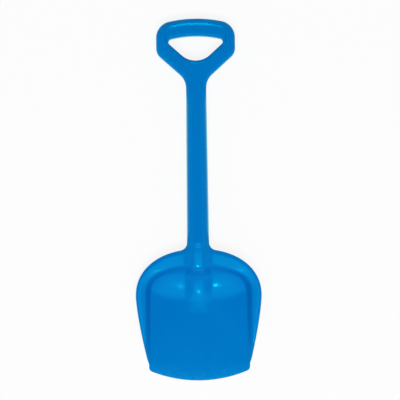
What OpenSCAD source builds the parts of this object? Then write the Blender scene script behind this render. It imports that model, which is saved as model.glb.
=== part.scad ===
// A child's sand shovel with a D grip: a scoop blade, a channel shaft and a grip bar.
// It lies on its back with the hollow side of the blade up and the grip towards +Y.
// Lengths are in millimetres. Y starts at the middle of the cutting edge and is
// centred at the end, when each piece is laid in place.

/* [Blade] */
// Width of the blade over its rim
blade_w = 174; // [164:1:186]
// Width of the band between the floor and the rim at the widest line
side_band_w = 21.5; // [19:0.5:25]
// How far the free edge stands out past the feet of the side walls
edge_flange_w = 4.5; // [3:0.25:5.5]
// Cutting edge to the widest line
belly_l = 117.5; // [110:0.5:130]
// Widest line to the crease at the foot of the rear wall
floor_back_l = 34; // [31:0.5:38]
// Widest line to the back of the rim
shoulder_l = 65; // [60:0.5:72]
// Height of the rim at the back
pan_d = 27; // [24:0.5:30]
// Thickness of the moulding
wall = 2.6; // [2:0.1:3]
// How far the cutting edge bows forwards
edge_bow = 14.5; // [10:0.5:18]
// Radius of the cutting edge's corners
edge_corner_r = 7; // [4:0.5:10]
// Length of the free side edge in front of the side wall
free_edge_l = 24; // [22:0.5:28]
// Width of the side wall's front end, seen from above
wall_end_w = 5.4; // [4.5:0.1:6]
// Width of the steep step of a side wall
side_step_w = 9.5; // [8:0.5:11]
// Width of the steep step of the rear wall
back_step_w = 13; // [10:0.5:16]
// Width over which the lip turns down at the rim
lip_roll_w = 6; // [4:0.5:8]

/* [Scoop] */
// Length of the flat plate behind the cutting edge
plate_l = 92; // [80:1:98]
// How far the floor sweeps up at the rear crease
sweep_h = 8; // [6:0.5:10]
// How far ahead of the widest line the sweep starts on the centre line
sweep_lead = 10; // [6:0.5:11]
// How much later the sweep starts at the side creases
sweep_bow = 12; // [11:0.5:16]
// Height of the ridge over the lip of the rear wall
ridge_h = 5.5; // [4:0.25:6.5]
// Half width of the ridge at its foot
ridge_w = 20; // [18:0.5:23]
// How far the ridge steps up ahead of the rear wall
ridge_lead = 9.5; // [7:0.5:12]
// Length of the ridge's step
ridge_step_l = 16; // [13:0.5:19]

/* [Shaft] */
// Length of the shaft from the blade to the yoke
shaft_l = 212; // [150:1:300]
// Width of the shaft at the blade
shaft_w = 30.5; // [29:0.5:33]
// Width of the shaft at the yoke
neck_w = 28; // [26:0.5:30]
// Depth of the shaft at the blade
shaft_d = 25; // [22:0.5:27]
// How far the shaft's front stands above the rim
crest = 7; // [6:0.25:8]
// How far the front edges of the shaft round down
round_d = 7; // [5:0.5:8]
// Radius between the shoulder and the shaft, seen from above
shoulder_r = 11; // [8:0.5:13]
// Number of cross webs in the shaft
web_count = 7; // [3:1:11]
// Thickness of every web
web_t = 2; // [1.5:0.1:2.6]
// How far the webs stop short of the open back
web_inset = 3; // [2:0.5:5]

/* [Grip] */
// Width of the grip
grip_w = 109; // [102:1:118]
// Depth of the arms and the yoke
arm_d = 22; // [19:0.5:24]
// Width of an arm
arm_w = 21.6; // [18:0.2:23]
// Angle between an arm and the shaft, in degrees
arm_angle = 48; // [45:0.5:51]
// End of the shaft to the hand hole
yoke_l = 39; // [36:0.5:42]
// Length of the hand hole along the shaft
hole_h = 34; // [31:0.5:38]
// Radius at the hand hole's lower end
hole_low_r = 29; // [26:0.5:31]
// Radius of the hand hole's side corners
hole_corner_r = 4.5; // [3.5:0.25:6]
// Radius of the grip's upper corners
upper_r = 23; // [20:0.5:25]
// Radius of the grip's lower corners
lower_r = 16; // [12:0.5:18]
// Radius between an arm and the shaft
neck_r = 25; // [20:0.5:28]
// Width and depth of the grip bar
bar_d = 24; // [21:0.5:26]
// Radius of the bar's front edge on the far side
bar_edge_r = 7.5; // [6:0.5:9]
// Radius of the bar's front edge at the hand hole
bar_hole_edge_r = 4; // [3:0.25:5.5]
// Length of the grip bar between the arms
bar_l = 86; // [84:0.5:88]
// Radius of the bow along the bar's outer side
bow_r = 175; // [160:1:220]
// Number of webs in the bar
bar_web_count = 3; // [1:1:5]
// Number of webs in each arm
arm_web_count = 2; // [1:1:3]

/* [Hidden] */
plastic = [0.02, 0.47, 0.78];
// All cuts run past the material by this much
overrun = 60;
$fn = 96;

// Numbers of grid cells across and along the moulded sheets
wide_cells = 14;
ridge_cells = 6;
wall_cells = 10;
sweep_cells = 9;
side_cells = 12;
arc_cells = 10;

// Shape shares of the moulded sheets, with no unit
crease_power_share = 2.8;
rim_power_share = 2.18;
rim_rise_share = 0.6;
side_power_share = 1.4;
sweep_bow_share = 4;
lip_share = 0.18;
lip_drop_share = 0.08;
back_skew_share = 0.25;
ridge_skew_share = 0.75;
ridge_grow_share = 1.3;
ridge_flat_share = 1.35;
front_power_share = 2.4;
web_drop_share = 1.6;
cell_power_share = 1.3;
probe_share = 0.02;
// Width over which the shaft's front blends into the ridge
blend_w = 4;
// From the rim back to the place where the ridge is fully grown
ridge_end_lead = 6.5;
// How far the shaft's front dips under the ridge over one shaft depth
front_dip = 36;
// Clearance of the straight webs in the bowed bar
web_clearance = 0.05;
// Depth of the cheeks where they start under the rear wall
cheek_root = 1;

half_w = blade_w / 2;
half_floor = half_w - side_band_w;
half_edge = half_floor + edge_flange_w;
half_shaft = shaft_w / 2;
half_neck = neck_w / 2;
half_grip = grip_w / 2;
bar_r = bar_d / 2;
grip_l = yoke_l + hole_h + bar_d;
probe = wall * probe_share;

rim_end_y = belly_l + shoulder_l;

// Height of the rim, which climbs from the free edge and flattens towards the back
function rim_z(y) = wall + (pan_d - wall)
    * pow(max(0, y - free_edge_l) / (rim_end_y - free_edge_l), rim_rise_share);

// Half width of the rim ahead of the widest line
function side_half(y) = half_w - (half_w - half_floor - wall_end_w)
                        * pow((belly_l - y) / (belly_l - free_edge_l), side_power_share);

// The crease and the rim behind the widest line, as Y over X
function crease_y(x) = belly_l + floor_back_l
    * pow(max(0, 1 - pow(abs(x) / half_floor, crease_power_share)), 1 / crease_power_share);
function rim_arc_y(x) = belly_l + shoulder_l
    * pow(max(0, 1 - pow(abs(x) / half_w, rim_power_share)), 1 / rim_power_share);
function rim_arc_slope(x) = atan(shoulder_l / half_w * pow(x / half_w, rim_power_share - 1)
    * pow(1 - pow(x / half_w, rim_power_share), 1 / rim_power_share - 1));

// The fillet between the rim and the shaft: where it leaves the rim, found by repeated steps
fillet_hub = half_shaft + shoulder_r;
function fillet_x(x, steps) = steps == 0 ? x
    : fillet_x(fillet_hub - shoulder_r * sin(rim_arc_slope(x)), steps - 1);
fillet_end = fillet_x(fillet_hub, 6);
blade_l = rim_arc_y(fillet_end) + shoulder_r * cos(rim_arc_slope(fillet_end));
function rim_y(x) = abs(x) >= fillet_end ? rim_arc_y(x)
    : blade_l - sqrt(max(0, pow(shoulder_r, 2) - pow(fillet_hub - max(abs(x), half_shaft), 2)));

// The handle is straight and leans so that its far end meets the ground
handle_l = shaft_l + grip_l;
handle_back_z = pan_d + crest - shaft_d;
handle_tilt = asin(handle_back_z / handle_l);
shaft_end_z = grip_l * sin(handle_tilt);
shaft_end_y = blade_l + shaft_l * cos(handle_tilt);
overall_l = shaft_end_y + (grip_l - bar_edge_r) * cos(handle_tilt)
    + (bar_d - bar_edge_r) * sin(handle_tilt) + bar_edge_r;

// The floor: flat, then swept up towards the rear crease
function clamped(t) = min(1, max(0, t));
function ease(t) = let (u = clamped(t)) u * u * (3 - 2 * u);
function mix(a, b, t) = a + (b - a) * t;
function sweep_start(x) = belly_l - sweep_lead + sweep_bow * pow(abs(x) / half_floor, sweep_bow_share);
function sweep_z(x, y) = wall + sweep_h * pow(max(0, (y - sweep_start(x)) / (floor_back_l + sweep_lead)), 2);

// Rise of a wall at a distance from its foot: a steep step, then a gently rising lip
function rise_share(away, span, step_w, skew) = (1 - lip_share)
    * ease(pow(clamped(away / min(step_w, span)), skew)) + lip_share * clamped(away / span);

// How far the lip has turned down, close to the rim
function lip_drop(y, from_rim, span) = lip_drop_share * (rim_z(y) - wall)
    * pow(1 - clamped(from_rim / min(lip_roll_w, span / 2)), 2);

// Height of the blade's inside without the ridge
function pan_z(x, y) = y <= belly_l ? side_z(abs(x), y) : back_z(abs(x), y);
function side_z(x, y) = let (away = x - half_floor, span = max(wall_end_w, side_half(y) - half_floor))
    away <= 0 ? sweep_z(x, y)
    : wall + (rim_z(y) - wall) * rise_share(away, span, side_step_w, 1) - lip_drop(y, span - away, span);
function back_z(x, y) = let (
        reach = max(probe, norm([x, y - belly_l])),
        across = x / reach,
        along = (y - belly_l) / reach,
        foot = pow(pow(across / half_floor, crease_power_share)
                   + pow(along / floor_back_l, crease_power_share), -1 / crease_power_share),
        rim = pow(pow(across / half_w, rim_power_share)
                  + pow(along / shoulder_l, rim_power_share), -1 / rim_power_share),
        foot_z = sweep_z(across * foot, belly_l + along * foot),
        rim_y = belly_l + along * rim,
        past = max(0, reach - rim),
        backward = pow(along, 4),
        step_w = mix(side_step_w, back_step_w, backward))
    reach <= foot ? sweep_z(x, y)
    : foot_z + (rim_z(rim_y) - foot_z)
        * rise_share(reach - foot, rim - foot, step_w, 1 - back_skew_share * backward)
      - lip_drop(rim_y, rim - reach, rim - foot) - web_drop_share * past * past / shoulder_r;

// The ridge: it grows out of the sweep, steps up ahead of the rear wall and runs over the lip
ridge_foot_y = belly_l + floor_back_l - ridge_lead;
ridge_foot_z = sweep_z(0, ridge_foot_y);
ridge_end_y = rim_end_y - ridge_end_lead;
function ridge_z(y) = ridge_h * pow(clamped((y - plate_l) / (ridge_end_y - plate_l)), ridge_grow_share)
    + (y <= ridge_foot_y ? sweep_z(0, y) : ridge_foot_z + (pan_d - ridge_foot_z)
        * rise_share(y - ridge_foot_y, rim_end_y - ridge_foot_y, ridge_step_l, ridge_skew_share));
function across_ridge(x) = ease(ridge_flat_share * (1 - abs(x) / ridge_w));
function front_z(x, y) = pan_d + crest - round_d * pow(abs(x) / half_shaft, front_power_share)
    - front_dip * pow((blade_l - y) / shaft_d, 2);

// Inside and underside of the blade, one wall apart along the surface
function blend(a, b) = let (h = max(0, blend_w - abs(a - b)) / blend_w)
    max(a, b) + h * h * blend_w / 4;
function top_z(x, y) = blend(pan_z(x, y) + (ridge_z(y) - pan_z(0, y)) * across_ridge(x), front_z(x, y));
function steep(x, y) = norm([1, (top_z(x + probe, y) - top_z(x - probe, y)) / (2 * probe),
                             (top_z(x, y + probe) - top_z(x, y - probe)) / (2 * probe)]);
function under_z(x, y) = max(0, top_z(x, y) - wall * min(2, steep(x, y)));

// Stations across the blade: share 0 at the shaft's side and 1 at the widest line
function cell_share(i, cells) = (1 - cos(180 * i / cells)) / 2;
function step_share(k, cells) = pow(k / cells, cell_power_share);
function crease_x(i) = mix(half_shaft, half_floor, cell_share(i, wide_cells));
function rim_x(i) = mix(half_shaft, half_w, cell_share(i, wide_cells));
inner_shaft = half_shaft - wall;
ridge_x = concat([-half_shaft], [for (i = [0:ridge_cells]) mix(-inner_shaft, inner_shaft, i / ridge_cells)],
                 [half_shaft]);
floor_x = concat([for (i = [wide_cells:-1:1]) -crease_x(i)], ridge_x,
                 [for (i = [1:wide_cells]) crease_x(i)]);

// Closed sheet over a grid of places, rows[j] holding the places of row j as [x, y]
module sheet(rows) {
    n = len(rows[0]);
    m = len(rows);
    top = [for (row = rows) for (p = row) [p[0], p[1], top_z(p[0], p[1])]];
    bottom = [for (row = rows) for (p = row) [p[0], p[1], under_z(p[0], p[1])]];
    all = n * m;
    function at(j, i) = j * n + i;
    faces = concat(
        [for (j = [0:m - 2]) for (i = [0:n - 2]) each [
            [at(j, i), at(j + 1, i), at(j + 1, i + 1)],
            [at(j, i), at(j + 1, i + 1), at(j, i + 1)],
            [all + at(j, i), all + at(j + 1, i + 1), all + at(j + 1, i)],
            [all + at(j, i), all + at(j, i + 1), all + at(j + 1, i + 1)]]],
        [for (i = [0:n - 2]) each [
            [at(0, i), at(0, i + 1), all + at(0, i + 1), all + at(0, i)],
            [at(m - 1, i + 1), at(m - 1, i), all + at(m - 1, i), all + at(m - 1, i + 1)]]],
        [for (j = [0:m - 2]) each [
            [at(j + 1, 0), at(j, 0), all + at(j, 0), all + at(j + 1, 0)],
            [at(j, n - 1), at(j + 1, n - 1), all + at(j + 1, n - 1), all + at(j, n - 1)]]]);
    polyhedron(concat(top, bottom), faces, convexity = 4);
}

// Channel open at the back: front and inner are point rows from left to right, and the
// cheeks end at the open back. Each section is [front, inner, left foot, right foot].
module channel(sections) {
    n = len(sections[0][0]);
    m = len(sections);
    size = 2 * n + 2;
    // Order of a section: front left to right, outer right foot, inner right foot,
    // inner right to left, inner left foot, outer left foot
    points = [for (s = sections) each concat(
        s[0],
        [s[3][0], s[3][1]],
        [for (i = [n - 2:-1:1]) s[1][i]],
        [s[2][1], s[2][0]])];
    function cap(o) = concat(
        [for (i = [1:n - 3]) [o + i, o + i + 1, o + 2 * n - 1 - i, o + 2 * n - i]],
        [[o + n - 2, o + n - 1, o + n + 2], [o + n - 1, o + n, o + n + 2], [o + n, o + n + 1, o + n + 2],
         [o, o + 1, o + 2 * n - 1], [o, o + 2 * n - 1, o + 2 * n + 1], [o + 2 * n - 1, o + 2 * n, o + 2 * n + 1]]);
    function flip(list) = [for (f = list) [for (i = [len(f) - 1:-1:0]) f[i]]];
    faces = concat(
        [for (j = [0:m - 2]) for (i = [0:size - 1]) let (e = (i + 1) % size) each [
            [j * size + i, (j + 1) * size + i, (j + 1) * size + e],
            [j * size + i, (j + 1) * size + e, j * size + e]]],
        cap(0), flip(cap((m - 1) * size)));
    polyhedron(points, faces, convexity = 6);
}

// Every piece is built with Y from the cutting edge and laid with the middle at the origin
module lay() {
    color(plastic) translate([0, -overall_l / 2, 0]) children();
}
module handle_lay() {
    lay() translate([0, shaft_end_y, shaft_end_z]) rotate([-handle_tilt, 0, 0]) children();
}

// Blade: flat plate with the bowed cutting edge and rounded corners
edge_r = (pow(half_edge, 2) + pow(edge_bow, 2)) / (2 * edge_bow);
corner_x = half_edge - edge_corner_r;
corner_y = edge_r - sqrt(pow(edge_r - edge_corner_r, 2) - pow(corner_x, 2));
module blade_plate() {
    lay() linear_extrude(wall) {
        translate([-half_floor, corner_y]) square([2 * half_floor, plate_l - corner_y]);
        difference() {
            translate([-half_edge, 0]) square([2 * half_edge, free_edge_l]);
            difference() {
                translate([-half_edge - overrun, -overrun]) square([2 * (half_edge + overrun), overrun + corner_y]);
                translate([0, edge_r]) circle(edge_r, $fn = 360);
            }
            for (side = [0, 1]) mirror([side, 0]) difference() {
                translate([corner_x, corner_y - overrun]) square(overrun);
                translate([corner_x, corner_y]) circle(edge_corner_r);
            }
        }
    }
}

// Blade: floor that sweeps up behind the plate
module blade_scoop() {
    lay() sheet([for (j = [0:sweep_cells])
        [for (x = floor_x) [x, mix(plate_l, crease_y(x), j / sweep_cells)]]]);
}

// Blade: side wall between the free edge and the widest line
module side_wall(side) {
    lay() sheet([for (j = [0:side_cells]) let (y = mix(free_edge_l, belly_l, j / side_cells))
        [for (k = [0:wall_cells]) let (t = step_share(side > 0 ? k : wall_cells - k, wall_cells))
            [side * mix(half_floor, side_half(y), t), y]]]);
}
module left_side_wall() { side_wall(-1); }
module right_side_wall() { side_wall(1); }

// Blade: rear wall between the widest line and the shaft, with the fillet to the shaft
module shoulder(side) {
    lay() sheet([for (k = [0:wall_cells]) let (t = step_share(k, wall_cells))
        [for (c = [0:wide_cells]) let (i = side > 0 ? c : wide_cells - c)
            [side * mix(crease_x(i), rim_x(i), t),
             mix(crease_y(crease_x(i)), rim_y(rim_x(i)), t)]]]);
}
module left_shoulder() { shoulder(-1); }
module right_shoulder() { shoulder(1); }

// Socket: the shaft's end, which runs over the rear wall and has a cheek under each side
module socket() {
    foot_y = crease_y(half_shaft);
    function foot_z(t) = mix(under_z(half_shaft, foot_y) - cheek_root, handle_back_z, t);
    function place(x, t) = [x, mix(crease_y(x), blade_l, t)];
    function foot(x, t) = [x, place(x, t)[1], foot_z(t)];
    lay() channel([for (k = [0:wall_cells]) let (t = step_share(k, wall_cells)) [
        [for (x = ridge_x) let (p = place(x, t)) [p[0], p[1], top_z(p[0], p[1])]],
        [for (x = ridge_x) let (p = place(x, t)) [p[0], p[1], under_z(p[0], p[1])]],
        [foot(-half_shaft, t), foot(-inner_shaft, t)],
        [foot(half_shaft, t), foot(inner_shaft, t)]]]);
}

// Sections of the shaft at the blade and at the yoke, both as front, inner and feet
function blade_section(inset) = let (front = [for (x = ridge_x) [x, blade_l, top_z(x, blade_l)]])
    [front,
     [for (p = front) [p[0], p[1], p[2] - wall]],
     [for (w = [half_shaft, inner_shaft]) [-w, blade_l, handle_back_z + inset]],
     [for (w = [half_shaft, inner_shaft]) [w, blade_l, handle_back_z + inset]]];
function leaned(x, z) = [x, shaft_end_y + z * sin(handle_tilt), shaft_end_z + z * cos(handle_tilt)];
function yoke_section(inset) = let (
        inner = half_neck - wall,
        xs = [for (x = ridge_x) abs(x) > inner_shaft ? sign(x) * half_neck : x * inner / inner_shaft],
        front = [for (x = xs) [x, arm_d - round_d * pow(abs(x) / half_neck, front_power_share)]])
    [[for (p = front) leaned(p[0], p[1])],
     [for (p = front) leaned(p[0], p[1] - wall)],
     [for (w = [half_neck, inner]) leaned(-w, inset)],
     [for (w = [half_neck, inner]) leaned(w, inset)]];
function mix_section(t, inset) = let (a = blade_section(inset), b = yoke_section(inset))
    [for (q = [0:3]) [for (i = [0:len(a[q]) - 1]) mix(a[q][i], b[q][i], t)]];

module shaft() {
    lay() channel([blade_section(0), yoke_section(0)]);
}

// Shaft: cross webs inside the channel
module shaft_webs() {
    n = len(ridge_x);
    function outline(t) = let (s = mix_section(t, web_inset))
        concat([s[2][1]], [for (i = [1:n - 2]) s[1][i]], [s[3][1]]);
    lay() for (k = [1:web_count]) {
        centre = k / (web_count + 1);
        half = web_t / 2 / shaft_l;
        points = concat(outline(centre - half), outline(centre + half));
        polyhedron(points, concat(
            [[for (i = [0:n - 1]) i], [for (i = [n - 1:-1:0]) n + i]],
            [for (i = [0:n - 1]) let (e = (i + 1) % n) each [
                [i, n + i, n + e], [i, n + e, e]]]), convexity = 4);
    }
}

// Outline with rounded corners: each corner is [x, y, radius], counter-clockwise
function unit(v) = v / norm(v);
function turned(v, a) = [v[0] * cos(a) - v[1] * sin(a), v[0] * sin(a) + v[1] * cos(a)];
function corner_arc(before, corner, after) = let (
        p = [corner[0], corner[1]],
        r = corner[2],
        u = unit([before[0], before[1]] - p),
        w = unit([after[0], after[1]] - p),
        half = acos(u * w) / 2,
        hub = p + unit(u + w) * r / sin(half),
        arm = p + u * r / tan(half) - hub,
        turn = (180 - 2 * half) * (cross(u, w) < 0 ? 1 : -1))
    r == 0 ? [p] : [for (k = [0:arc_cells]) hub + turned(arm, turn * k / arc_cells)];
function rounded(corners) = let (n = len(corners))
    [for (i = [0:n - 1]) each corner_arc(corners[(i + n - 1) % n], corners[i], corners[(i + 1) % n])];
function mirrored(corners) = concat(corners,
    [for (i = [len(corners) - 1:-1:0]) if (corners[i][0] != 0) [-corners[i][0], corners[i][1], corners[i][2]]]);

// Grip outline, with Y from the end of the shaft; inset moves every side inwards
hole_hub_y = yoke_l + hole_low_r;
bow_hub_y = grip_l - bow_r;
bow_angle = asin((half_grip - upper_r) / (bow_r - upper_r));
function arm_line_y(x, away) = hole_hub_y + (x * cos(arm_angle) - away) / sin(arm_angle);
module grip_outline(inset) {
    away = hole_low_r + arm_w - inset;
    neck_x = half_neck - inset;
    side_x = half_grip - inset;
    peak_y = bow_hub_y + (bow_r - inset) / cos(bow_angle);
    polygon(rounded(mirrored([
        [neck_x, inset > 0 ? -overrun : 0, 0],
        [neck_x, arm_line_y(neck_x, away), neck_r + inset],
        [side_x, arm_line_y(side_x, away), lower_r - inset],
        [side_x, peak_y - side_x * tan(bow_angle), upper_r - inset],
        [0, peak_y, bow_r - inset]])));
}

// Hand hole outline; grow moves every side outwards
hole_top_r = bow_r - bar_d;
arm_way = [sin(arm_angle), cos(arm_angle)];
arm_out = [cos(arm_angle), -sin(arm_angle)];
corner_from_bow = [0, hole_hub_y - bow_hub_y] + arm_out * (hole_low_r - hole_corner_r);
corner_on_arm = corner_from_bow * arm_way;
corner_run = sqrt(pow(corner_on_arm, 2) - corner_from_bow * corner_from_bow
                  + pow(hole_top_r - hole_corner_r, 2)) - corner_on_arm;
hole_corner = corner_from_bow + arm_way * corner_run;
hole_angle = asin(hole_corner[0] / (hole_top_r - hole_corner_r));
module hole_outline(grow) {
    low_r = hole_low_r + grow;
    top_r = hole_top_r + grow;
    a = low_r + (bow_hub_y - hole_hub_y) * sin(arm_angle);
    det = cos(arm_angle - hole_angle);
    corner_x = (a * cos(hole_angle) + top_r * sin(arm_angle)) / det;
    corner_y = bow_hub_y + (top_r * cos(arm_angle) - a * sin(hole_angle)) / det;
    polygon(rounded([
        [0, hole_hub_y - low_r / sin(arm_angle), low_r],
        [corner_x, corner_y, hole_corner_r + grow],
        [0, bow_hub_y + top_r / cos(hole_angle), top_r],
        [-corner_x, corner_y, hole_corner_r + grow]]));
}

// Where the bar lies, seen from above, with the upper part of the hand hole under it,
// as far as the middle of the hole's side corners so that the arms end in no thin edge
bar_foot_x = hole_corner[0] + hole_corner_r / 2;
module bar_zone(grow) {
    difference() {
        translate([-bar_l / 2 - grow, yoke_l + hole_h / 2]) square([bar_l + 2 * grow, grip_l]);
        translate([0, bow_hub_y]) circle(hole_top_r - grow, $fn = 360);
    }
    translate([-bar_foot_x, bow_hub_y + hole_corner[1]]) square([2 * bar_foot_x, bow_r]);
}

// Flat-fronted frame of the grip, a channel open at the back
module grip_frame() {
    difference() {
        linear_extrude(arm_d) difference() {
            grip_outline(0);
            hole_outline(0);
            bar_zone(0);
        }
        translate([0, 0, -wall]) linear_extrude(arm_d) difference() {
            grip_outline(wall);
            hole_outline(wall);
            bar_zone(wall);
        }
    }
}

// The yoke ends square across each arm, at the end of the hand hole's lower arc
module on_side(side) {
    mirror([side < 0 ? 1 : 0, 0, 0]) children();
}
module beyond_yoke() {
    intersection() {
        translate([0, hole_hub_y]) rotate(90 - arm_angle)
            translate([0, -overrun]) square([2 * overrun, 2 * overrun]);
        square([2 * overrun, 2 * overrun]);
    }
}
module yoke() {
    handle_lay() difference() {
        grip_frame();
        for (side = [-1, 1]) on_side(side)
            translate([0, 0, -overrun]) linear_extrude(2 * overrun) beyond_yoke();
    }
}
module arm(side) {
    handle_lay() on_side(side) intersection() {
        grip_frame();
        linear_extrude(arm_d) beyond_yoke();
    }
}
module left_arm() { arm(-1); }
module right_arm() { arm(1); }

// Arms: webs across the channel, from wall to wall along the arm's straight run
arm_run = half_grip * sin(arm_angle)
    + (arm_line_y(half_grip, hole_low_r + arm_w) - hole_hub_y) * cos(arm_angle)
    - lower_r * tan(arm_angle / 2);
module arm_webs() {
    web_h = arm_d - wall - web_inset;
    handle_lay() for (side = [-1, 1]) on_side(side)
        translate([0, hole_hub_y, web_inset]) rotate(90 - arm_angle)
            for (k = [1:arm_web_count])
                translate([arm_run * (k - 0.5) / arm_web_count - web_t / 2, wall - arm_w - hole_low_r, 0])
                    cube([web_t, arm_w - 2 * wall, web_h]);
}

// Grip bar: a bowed channel with rounded front edges
module bar_profile(inset) {
    half = bar_r - inset;
    low = inset > 0 ? -overrun : 0;
    polygon(rounded([
        [-half, low, 0],
        [half, low, 0],
        [half, bar_d - inset, bar_edge_r - inset],
        [-half, bar_d - inset, bar_hole_edge_r - inset]]));
}
module grip_bar() {
    handle_lay() translate([0, bow_hub_y, 0]) intersection() {
        rotate_extrude($fn = 360) translate([bow_r - bar_r, 0]) difference() {
            bar_profile(0);
            bar_profile(wall);
        }
        translate([-bar_l / 2, 0, 0]) cube([bar_l, bow_r + overrun, bar_d]);
    }
}

// Grip bar: webs across its channel
module bar_webs() {
    handle_lay() translate([0, bow_hub_y, 0]) for (k = [1:bar_web_count])
        rotate((k / (bar_web_count + 1) - 0.5) * 2 * asin(bar_l / 2 / bow_r))
            translate([web_t / 2, bow_r - bar_r, 0]) rotate([90, 0, -90]) linear_extrude(web_t)
                intersection() {
                    bar_profile(wall + web_clearance);
                    translate([-bar_r, web_inset]) square([bar_d, bar_d]);
                }
}

blade_plate();
blade_scoop();
left_side_wall();
right_side_wall();
left_shoulder();
right_shoulder();
socket();
shaft();
shaft_webs();
yoke();
left_arm();
right_arm();
arm_webs();
grip_bar();
bar_webs();
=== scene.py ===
# %% [markdown]
# # A child's sand shovel, moulded in one shot
#
# This lesson dresses the CAD frame of a bright blue sand shovel. The real one is a single
# injection moulding: a thin scoop blade, a channel-shaped shaft that is open at the back, and
# a grip with a bowed bar. We keep the CAD's natural regions as separate pieces, but we make
# their skins from the same height rules, much finer, so that light runs over the cuts as if
# there were none.

# %% Frame
import math
import bpy
import numpy as np
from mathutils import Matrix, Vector


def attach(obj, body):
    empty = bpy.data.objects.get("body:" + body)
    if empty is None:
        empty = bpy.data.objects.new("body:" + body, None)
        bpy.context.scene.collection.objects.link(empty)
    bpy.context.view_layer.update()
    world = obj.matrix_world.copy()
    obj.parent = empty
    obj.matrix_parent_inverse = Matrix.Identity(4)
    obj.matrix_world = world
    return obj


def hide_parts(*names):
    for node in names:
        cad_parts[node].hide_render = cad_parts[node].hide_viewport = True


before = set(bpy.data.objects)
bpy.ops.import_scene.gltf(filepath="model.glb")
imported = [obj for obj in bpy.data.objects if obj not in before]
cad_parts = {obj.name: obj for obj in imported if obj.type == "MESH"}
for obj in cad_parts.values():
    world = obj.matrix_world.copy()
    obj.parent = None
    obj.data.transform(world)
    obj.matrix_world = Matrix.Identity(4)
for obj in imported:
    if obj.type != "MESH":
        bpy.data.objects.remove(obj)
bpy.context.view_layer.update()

# %% [markdown]
# ## The camera
#
# The shovel was photographed from straight above with a long lens, lying with its hollow side
# up and its grip at the top. We look down from six metres, so that the raised walls hardly
# lean, and turn the camera by less than a degree, as the shovel lay.

# %% Camera
PHOTO_WIDTH = 0.5544
CAMERA_HEIGHT = 6.0
eye = bpy.data.cameras.new("eye")
eye.sensor_width = 36.0
eye.lens = eye.sensor_width * CAMERA_HEIGHT / PHOTO_WIDTH
eye_object = bpy.data.objects.new("eye", eye)
bpy.context.scene.collection.objects.link(eye_object)
eye_object.location = (0.0034, -0.0004, CAMERA_HEIGHT)
eye_object.rotation_euler = (0.0, 0.0, math.radians(-0.72))
bpy.context.scene.camera = eye_object
print("Lens:", round(eye.lens, 1), "mm")

# %% [markdown]
# ## The sizes of the moulding
#
# The lengths are those of the CAD source, in millimetres. Y runs from the middle of the
# cutting edge towards the grip, here as in the source, and is centred when a piece is laid.
# Names that end in BOW, RISE, SOFT or GROWTH are powers: they say how square or how quick a
# curve is. Names that end in SHARE, DROP, FLAT or FULL can be shares of something else.

# %% Sizes
WALL = 2.6
HALF_W, HALF_FLOOR, HALF_EDGE = 87.0, 65.5, 70.0
BELLY, FLOOR_BACK, SHOULDER = 117.5, 34.0, 65.0
PAN, PLATE, FREE_EDGE = 27.0, 92.0, 24.0
FRONT_LIP, SIDE_BOW = 5.4, 1.4
EDGE_BULGE, EDGE_CORNER = 14.5, 7.0
SHAFT_L, HALF_SHAFT, HALF_NECK = 212.0, 15.25, 14.0
SHAFT_D, CREST, ARM_D = 25.0, 7.0, 22.0
YOKE_L, HOLE_H, BAR_D, ARM_W = 39.0, 34.0, 24.0, 21.6
GRIP_L = YOKE_L + HOLE_H + BAR_D
HOLE_ROUND, BAR_ROUND, BAR_HOLE_ROUND = 4.5, 7.5, 4.0
STEP_W, BACK_STEP_W, LIP_ROLL = 9.5, 13.0, 6.0
LIP_SHARE, LIP_DROP, BACK_SOFT = 0.18, 0.08, 0.25
SWEEP, SWEEP_LEAD, SWEEP_BEND = 8.0, 10.0, 12.0
RIM_RISE, RIM_BOW, CREASE_BOW = 0.6, 2.18, 2.8
FILLET_R, FILLET_DROP = 11.0, 1.6
BACK_Z = PAN + CREST - SHAFT_D
TILT = math.asin(BACK_Z / (SHAFT_L + GRIP_L))

# %% [markdown]
# ## The shape of the blade as height rules
#
# The blade could be pushed and pulled by hand, but a scoop like this is easier to get right as
# rules: how high is its inside above each place? The floor is flat, then sweeps up at the
# back. The walls rise in a steep step and end in a nearly flat lip. A ridge swells out of the
# floor and becomes the shaft. The rules are the ones that the CAD source uses, with a few
# touches of under a millimetre on top, which are named where they come.

# %% Heights of the pan
def ease(t):
    u = np.clip(t, 0.0, 1.0)
    return u * u * (3.0 - 2.0 * u)


def mix(a, b, t):
    return a + (b - a) * t


def rim_z(y):
    run = np.maximum(0.0, y - FREE_EDGE) / (BELLY + SHOULDER - FREE_EDGE)
    return WALL + (PAN - WALL) * run ** RIM_RISE


def side_half(y):
    run = np.clip((BELLY - y) / (BELLY - FREE_EDGE), 0.0, 1.0)
    return HALF_W - (HALF_W - HALF_FLOOR - FRONT_LIP) * run ** SIDE_BOW


def oval(x, half, reach, bow):
    """Height of a squarish oval over a place across it."""
    return reach * np.maximum(0.0, 1.0 - (np.abs(x) / half) ** bow) ** (1 / bow)


def crease_y(x):
    return BELLY + oval(x, HALF_FLOOR, FLOOR_BACK, CREASE_BOW)


def rim_arc_y(x):
    return BELLY + oval(x, HALF_W, SHOULDER, RIM_BOW)


def sweep_z(x, y):
    start = BELLY - SWEEP_LEAD + SWEEP_BEND * (x / HALF_FLOOR) ** 4
    return WALL + SWEEP * np.maximum(0.0, (y - start) / (FLOOR_BACK + SWEEP_LEAD)) ** 2


def rise_share(away, span, step_w, skew):
    step = np.clip(away / np.minimum(step_w, span), 0.0, 1.0) ** skew
    return (1.0 - LIP_SHARE) * ease(step) + LIP_SHARE * np.clip(away / span, 0.0, 1.0)


def lip_drop(y, from_rim, span):
    """How far the lip has turned down, close to the rim."""
    roll = np.minimum(LIP_ROLL, span / 2.0)
    return LIP_DROP * (rim_z(y) - WALL) * (1.0 - np.clip(from_rim / roll, 0.0, 1.0)) ** 2


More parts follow.
